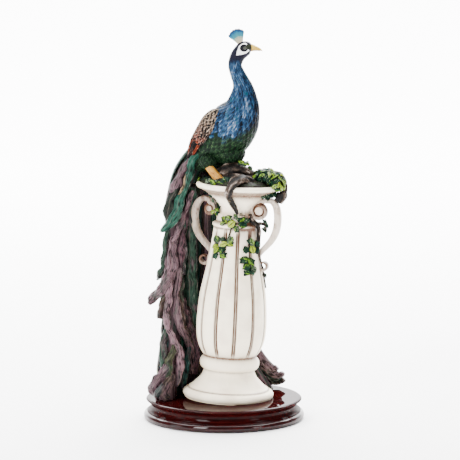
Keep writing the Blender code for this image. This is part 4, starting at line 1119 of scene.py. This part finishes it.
BACK_DYES = ["bottle", "mauve", "sea", "plum", "bottle", "olive", "mauve", "teal"]
BACK_TIERS = np.arange(292, 60, -22)
PLUMES_ACROSS = 8.6
EYE_RADIUS = 4.6
count = 0
for tier, top in enumerate(BACK_TIERS):
    # The low tiers leave out the first plume, where the curtain's back edge turns in behind the urn.
    for k in range(1 if top < 125 else 0, 8):
        across = (k + 0.5 * (tier % 2)) / PLUMES_ACROSS
        chance = shade_of(count, 2)
        length = 44 + 14 * chance
        slant = (chance - 0.5) * 0.10
        route = []
        for s in (0, 0.3, 0.6, 0.85, 1.0):
            height = max(top - length * s, TRAIN_FOOT + 3)
            half = train_station(height)[4] * fullness(min(max(across + slant * s, 0.02), 0.98))
            route.append(train_place(height, across + slant * s, half + 0.6 + 2.6 * s * (1 - s) + 1.6 * s))
        face = route[2] - (URN_SEAT.x, URN_SEAT.y, route[2][2])
        dye = BACK_DYES[(count * 3 + tier) % len(BACK_DYES)]
        plume(route, [3.0, 6.2, 7.4, 6.8, 1.5], face, dye, 1.4, 0.28, eye=EYE_RADIUS if count % 2 else 0.0)
        count += 1

# Curled feathers spread on the plinth behind the urn's foot, out to the right.
# They are the ends of the train, cast and painted like the other plumes.
CURLED_FEATHERS = [
    ("bottle", [(22, 56, 84), (33, 60, 62), (44, 59, 44), (55, 55, 34), (62, 51, 33.5), (65, 49, 37.5)]),
    ("mauve", [(30, 60, 66), (42, 59, 52), (52, 54, 42), (60, 49, 37.5), (65, 46, 38.5), (67.5, 45, 42.5)]),
    ("umber", [(26, 61, 60), (38, 62, 42), (50, 60, 31), (60, 56, 28.5), (66, 54, 30), (69, 53, 33)]),
    ("mauve", [(20, 54, 96), (30, 57, 76), (40, 58, 60), (50, 55, 48), (57, 51, 44), (61, 49, 47)]),
]
for dye, route in CURLED_FEATHERS:
    plume(route, [3, 6, 7, 6.5, 5, 2.6], (0.25, -0.3, 1), dye, 3.4, 0.45, carved=0.9)

# Long green coverts run from the bird's back over the top of the train.
# They hide where the casting's train grows out of the bird.
COVERTS = 11
for k in range(COVERTS):
    share = k / (COVERTS - 1)
    across = 0.04 + 0.84 * share
    root = on_bird(-0.15 - 0.03 * share, 0.13 - 0.10 * share, 0.20) + (0, 0, 4)
    shoulder = train_place(TRAIN_TOP, across, 5.0 + 3 * math.sin(share * math.pi)) + (0, 0, 4)
    fall = train_place(276 - 14 * (k % 2), across, 12.0)
    tip = train_place(252 - 20 * (k % 3), across, 12.5)
    face = fall - (URN_SEAT.x, URN_SEAT.y, 240)
    route = [root, (root + shoulder) / 2 + (0, 0, 3), shoulder, fall, tip]
    plume(route, [4, 6, 7, 6.4, 1.4], face, ["sea", "bottle"][k % 2], 1.5, 0.3)

PLUM_GLAZE = (0.066, 0.036, 0.044)
BOTTLE_GLAZE = (0.010, 0.030, 0.020)
BARB_SHADOW = (0.0015, 0.0015, 0.0018)
PALE_BRUSH = (0.24, 0.20, 0.20)
EDGE_BRUSH = (0.22, 0.18, 0.18)
SHAFT_TAN = (0.12, 0.10, 0.08)
plumes = bunch("train_plumes", dyed_plumes)
plume_paint = Finish("plume_paint", Specular_IOR_Level=0.06)
barbs = plume_paint.grain(plume_paint.mark("barb", "Vector"), 0.9, 4, 0.6)
patchy = plume_paint.grain(plume_paint.place(), 0.12, 3)
key = barbs + patchy * 0.35 - 0.17
drift = plume_paint.grain(plume_paint.place((1, 1, 0.35)), 0.11, 4, 0.6)
blended = 1 - plume_paint.mark("pure") * 0.85
dyed = plume_paint.mix(drift.step(0.50, 0.62) * 0.60 * blended, plume_paint.mark("dye", "Vector"), PLUM_GLAZE)
dyed = plume_paint.mix((1 - drift.step(0.38, 0.46)) * 0.50 * blended, dyed, BOTTLE_GLAZE)
shaded = plume_paint.mix(key.step(0.36, 0.56), BARB_SHADOW, dyed)
lit = plume_paint.mix(key.step(0.60, 0.80) * 0.42, shaded, PALE_BRUSH)
edge = plume_paint.mark("across").size()
edged = plume_paint.mix(edge.step(0.86, 0.97) * barbs.step(0.45, 0.62) * 0.45, lit, EDGE_BRUSH)
shaft = plume_paint.mix((1 - edge.step(0.03, 0.09)) * 0.25, edged, SHAFT_TAN)
eye_colour = plume_paint.ramp(
    plume_paint.mark("ring"), (0.0, 0.001, 0.001, 0.012), (0.34, 0.001, 0.002, 0.024),
    (0.38, 0.002, 0.07, 0.09), (0.60, 0.003, 0.09, 0.09), (0.64, 0.11, 0.05, 0.01), (0.86, 0.10, 0.06, 0.01),
    (0.90, 0.06, 0.11, 0.015),
)
eyed = plume_paint.mix(1 - plume_paint.mark("ring").step(0.98, 1.04), shaft, eye_colour)
plume_paint.feed(Base_Color=eyed, Roughness=barbs * 0.3 + 0.25)
plume_paint.bump(barbs + edge * -0.3, 0.7, 1.0).on(plumes)
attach(plumes, "root")


# Ivy grows from the urn's mouth and along the tendrils. Each leaf is a small cupped blade, cast with it.
# It is painted two greens, dark on one side of the midrib and lime or yellow on the other.
# (x, y and z of its middle, direction of its tip from the front, length, width, tint from dark to yellow)
IVY = [
    # round the neck ring
    (1, -23, 228.5, 110, 10.1, 6.4, 0.6), (-1.5, -25, 223.5, 200, 6.8, 4.8, 0.5),
    (8.5, -30, 224, 40, 10.1, 8.6, 0.9), (19.5, -26, 229.5, 35, 10.6, 7.5, 0.36),
    (21, -29, 222.5, -15, 10.3, 6.6, 0.28), (14, -34, 218.5, -110, 8, 6, 0.38),
    (13, -27, 231.5, 120, 7.8, 4.5, 0.3), (4.5, -30, 230.5, 150, 8, 5.6, 0.4),
    (25.5, -27, 227, 10, 7, 5, 0.2),
    # left of the belly
    (-8, -23, 206, 120, 9.8, 7, 0.35), (0, -30, 201.5, 20, 10, 6.6, 0.85), (7, -33, 206.5, 50, 9.3, 7, 0.4),
    (7, -32, 201.5, -30, 8.2, 5.4, 0.7), (-9.5, -24, 198, 200, 8.2, 5.4, 0.75),
    (-8.5, -27, 194, 230, 8.8, 5.4, 0.7), (-3, -29, 194.5, -50, 9.4, 6, 0.35),
    (-1, -32, 189, -25, 9.4, 5.4, 0.45), (-9.5, -28, 188, 215, 8, 5.4, 0.1),
    (-1, -28, 206.5, 90, 6.9, 4.7, 0.2),
    # right of the belly
    (30.5, -26, 203, 100, 10.8, 7, 0.45), (31.5, -28, 195, -80, 9.4, 8, 0.85),
    (24.5, -32, 195, 215, 8.2, 6.4, 0.2), (37, -20, 200, 30, 8, 5.8, 0), (36.5, -23, 193, -20, 7, 4.8, 0.15),
    # lower on the right
    (22, -34, 184, 160, 10.5, 7, 0.34), (30, -31, 182, -50, 11.4, 7.2, 0.42),
    (25, -35, 176.5, 200, 10.5, 7, 0.36), (26.5, -34, 170.5, -15, 9.8, 6, 0.3),
    (33, -30, 173.5, -65, 9.3, 6, 0.25), (31.5, -33, 170, -80, 7, 5, 0.1),
    # beside the right volute
    (45.5, -14, 223.5, 60, 7.5, 5.8, 0), (47.5, -14, 219.5, -20, 7, 5, 0), (45.5, -14, 215, -90, 7, 5.2, 0),
    (45.5, -8, 163, -80, 7, 5, 0),
    # beside the left volute
    (-11, -15, 249, 120, 7.5, 5.4, 0.2), (-8, -15, 244.5, 60, 8.2, 6, 0.1),
    (-7.5, -15, 239, -20, 9.4, 6, 0.55), (-12, -15, 235, 210, 7, 4.8, 0.7),
    (-7, -15, 234, -60, 6.5, 4.8, 0.3), (-14, -15, 254, 140, 6, 3.8, 0.1),
    # on the front of the rim
    (-12.5, -36, 271, 150, 8.2, 5.4, 0.5), (-3.5, -37, 270, -15, 9.4, 5.4, 0.4),
    (3, -33, 273.5, -40, 9.4, 5.4, 0.3), (-8.5, -34, 270.5, 60, 7, 4.8, 0.3),
    (0, -32, 272, 110, 7, 4.8, 0.35), (-18, -33, 272, 180, 6, 4.2, 0.3),
    # under the rim, at the right
    (43, -25, 254.5, 215, 8.2, 6, 0.05), (48, -24, 252.5, -100, 8.2, 6, 0.1),
    (52.5, -24, 255, -40, 8.2, 6, 0.1), (46.5, -26, 257, 90, 6, 4.8, 0.05), (56, -23, 256, -60, 8, 6, 0.15),
    # on the branch
    (19.5, -22, 291, 150, 8, 4.4, 0.5), (25, -22, 290, -15, 8, 4.2, 0.45), (29, -20, 285, -55, 7, 3.6, 0.3),
]
# Bushes of leaves stand on the mouth, each round a dark core that paints the shade between its leaves.
# (middle, reach along each axis, number of leaves, tint, how far down they go)
BUSHES = [
    ((47, -16, 274), (16, 15, 10), 60, 0.27, 1.35), ((59, -24, 269), (9.5, 8, 12), 38, 0.44, 1.75),
    ((46, 12, 271), (14, 14, 9), 26, 0.30, 1.35), ((8, 24, 270), (22, 14, 8), 32, 0.35, 1.35),
    ((-20, 2, 268), (9, 10, 5), 12, 0.3, 1.35),
]
GOLDEN_ANGLE = math.radians(137.5)
SHADE_CORE_SIZE = 0.80
VEIN_CREAM = (0.36, 0.40, 0.26)
MIDRIB_GREEN = (0.003, 0.010, 0.004)
GAP_SHADE_GREEN = (0.0012, 0.0035, 0.0018)
leaves = []


def leaf(centre, face, spin, length, width, tint):
    """One cupped leaf. spin turns its tip anticlockwise from the right, as seen against its face."""
    face = unit(face)
    level = unit(np.cross((0, 0, 1), face)) if abs(face[2]) < 0.98 else np.array([1.0, 0, 0])
    turn = math.radians(spin)
    toward = level * math.cos(turn) + np.cross(face, level) * math.sin(turn)
    line = ((-0.5, -1.2), (-0.25, 0.7), (0, 1.2), (0.26, 0.8), (0.5, -0.7))
    route = [centre + toward * length * share + face * out for share, out in line]
    halves = [width * share for share in (0.12, 0.40, 0.50, 0.34, 0.03)]
    grid, marks = blade(route, halves, face, 0.5, -0.26, 14, 7, -0.24)
    leaves.append((grid, marks | {"tint": tint, "sort": shade_of(len(leaves), 7)}))


# Each place on the list has two leaves: the listed one, and one behind it, turned a little on and painted
# dark as shade.
for x, y, z, spin, length, width, tint in IVY:
    outward = unit(np.array([x - URN_SEAT.x - 0.047 * (z - URN_SEAT.z), y - URN_SEAT.y, 0]))
    face = outward + (0, -0.25, 0.25)
    leaf((x, y, z) + outward * 0.8, face, spin, length * 1.08, width * 1.12, tint)
    leaf((x, y, z) - outward * 0.7, face, spin + 58, length * 1.15, width * 1.15, tint - 0.9)

for middle, reach, number, tint, down in BUSHES:
    shade_core = middle + ball(18, 30) * reach * SHADE_CORE_SIZE
    lumpy = np.array([[1 + 0.9 * rough(p, 0.22, 3) for p in ring] for ring in shade_core])
    shade_core = middle + (shade_core - middle) * lumpy[..., None] ** 0.4
    leaves.append((shade_core, {"across": 1, "share": 0, "lie": shade_core, "tint": -1, "sort": 0}))
    for k in range(number):
        rise = 1 - down * (k + 0.5) / number
        level = math.sqrt(1 - rise**2)
        out = np.array([level * math.cos(k * GOLDEN_ANGLE), level * math.sin(k * GOLDEN_ANGLE), rise])
        chance = np.array([shade_of(k, seed) for seed in (11, 12, 13)])
        size = 7.8 + 2.6 * chance[1]
        tilt = chance - 0.5
        face = out + (0, -0.2, 0.25) + 1.1 * tilt
        place = middle + out * reach * (0.82 + 0.2 * chance[0])
        leaf(place, face, 360 * chance[2], size, size * 0.56, tint + 0.8 * tilt[0])
ivy = bunch("ivy_leaves", leaves)
ivy_paint = Finish("ivy_paint", Specular_IOR_Level=0.06)
blot = ivy_paint.grain(ivy_paint.place(), 0.5, 3, 0.6)
tint = ivy_paint.mark("tint")
across = ivy_paint.mark("across")
run = ivy_paint.mark("lie", "Vector")
veins = ivy_paint.grain(run, 1.1, 2)
halved = (across * 0.22 + tint * 1.1 + (blot - 0.5) * 1.3 + (veins - 0.5) * 0.5).step(0.44, 0.54)
dark_green = ivy_paint.ramp(blot, (0.35, 0.0012, 0.005, 0.003), (0.55, 0.004, 0.020, 0.011),
                            (0.68, 0.012, 0.055, 0.030), (0.80, 0.06, 0.12, 0.07))
light_green = ivy_paint.ramp(tint * 0.55 + blot * 0.65, (0.35, 0.020, 0.06, 0.008), (0.58, 0.08, 0.16, 0.010),
                             (0.78, 0.18, 0.24, 0.013), (0.95, 0.34, 0.37, 0.025))
leafy = ivy_paint.mix(halved, dark_green, light_green)
whitish = (veins + ivy_paint.mark("sort") * 0.25).step(0.76, 0.84) * 0.6
leafy = ivy_paint.mix(whitish, leafy, VEIN_CREAM)
midrib = 1 - across.size().step(0.07, 0.20)
veined = ivy_paint.mix(midrib * 0.85, leafy, MIDRIB_GREEN)
# Each leaf's rim, and each bush's core, is painted near black, as the shade in the gaps between the leaves.
gap_shaded = ivy_paint.mix(across.size().step(0.74, 0.94) * 0.95, veined, GAP_SHADE_GREEN)
ivy_paint.feed(Base_Color=gap_shaded, Roughness=blot * 0.2 + 0.3)
ivy_paint.bump(blot + across.size() * 0.5, 0.5, 0.5).on(ivy)
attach(ivy, "root")


# The room is a pale floor that runs up into a pale wall, under a big soft light from above.
# A soft key stands at the upper left, with a weak lamp at the left side and a weak fill at the right.
FLOOR_SIZE = 9000.0
FLOOR_BACK = 2600.0
WALL_BEND = 1200.0
WALL_TOP = 5000.0
ROOM_GLOW = 0.45

floor_line = [(-FLOOR_SIZE, 0), (0, 0), (FLOOR_BACK, 0), *arc((FLOOR_BACK, WALL_BEND), WALL_BEND, -80, 0, 12),
              (FLOOR_BACK + WALL_BEND, WALL_TOP)]
floor = skin("floor", [[(x, y, z) for x in (-FLOOR_SIZE, 0, FLOOR_SIZE)] for y, z in floor_line],
             closed=False)
chalk = Finish("chalk_floor", Roughness=0.9, Specular_IOR_Level=0.1)
mottle = chalk.grain(chalk.place(), 0.004, 2)
chalk.feed(Base_Color=chalk.ramp(mottle, (0.2, 0.92, 0.92, 0.92), (0.8, 0.94, 0.94, 0.94))).on(floor)

world = bpy.data.worlds.new("studio")
world.use_nodes = True
world.node_tree.nodes["Background"].inputs["Color"].default_value = (1.0, 1.0, 1.0, 1)
world.node_tree.nodes["Background"].inputs["Strength"].default_value = ROOM_GLOW
bpy.context.scene.world = world


def soft_light(name, place, aim, width, height, power):
    """A rectangular lamp at a place, turned to its aim. Lengths are in mm and the power is in watts."""
    lamp = bpy.data.lights.new(name, "AREA")
    lamp.shape = "RECTANGLE"
    lamp.size = width * MM
    lamp.size_y = height * MM
    lamp.energy = power
    made = bpy.data.objects.new(name, lamp)
    made.location = Vector(place) * MM
    made.rotation_euler = (Vector(aim) - Vector(place)).to_track_quat("-Z", "Y").to_euler()
    bpy.context.scene.collection.objects.link(made)


soft_light("overhead", (0, 1000, 2000), (0, 1000, 0), 3000, 2600, 365)
soft_light("backdrop", (0, 2700, 2600), (0, 3500, 0), 5000, 2000, 900)
soft_light("key", (-850, -1200, 900), (0, 0, 230), 500, 900, 44)
soft_light("side", (-1500, -500, 450), (0, 0, 120), 500, 800, 6)
soft_light("fill", (1300, -1100, 700), (0, 0, 200), 400, 500, 8)

# The camera looks down by 7.8 degrees from three metres away, as in the photograph.
# The width of what it sees at the figurine is in mm.
CAMERA_DISTANCE = 3000.0
CAMERA_DROP = math.radians(7.8)
CAMERA_AIM = Vector((6.8, 0, 213))
VIEW_WIDTH = 513.8
SENSOR_WIDTH = 36
lens = bpy.data.cameras.new("camera")
lens.sensor_width = SENSOR_WIDTH
lens.lens = SENSOR_WIDTH * CAMERA_DISTANCE / VIEW_WIDTH
lens.clip_start = 0.05
lens.clip_end = 100
camera = bpy.data.objects.new("camera", lens)
back = Vector((0, -math.cos(CAMERA_DROP), math.sin(CAMERA_DROP)))
camera.location = (CAMERA_AIM + back * CAMERA_DISTANCE) * MM
camera.rotation_euler = back.to_track_quat("Z", "Y").to_euler()
bpy.context.scene.collection.objects.link(camera)
bpy.context.scene.camera = camera
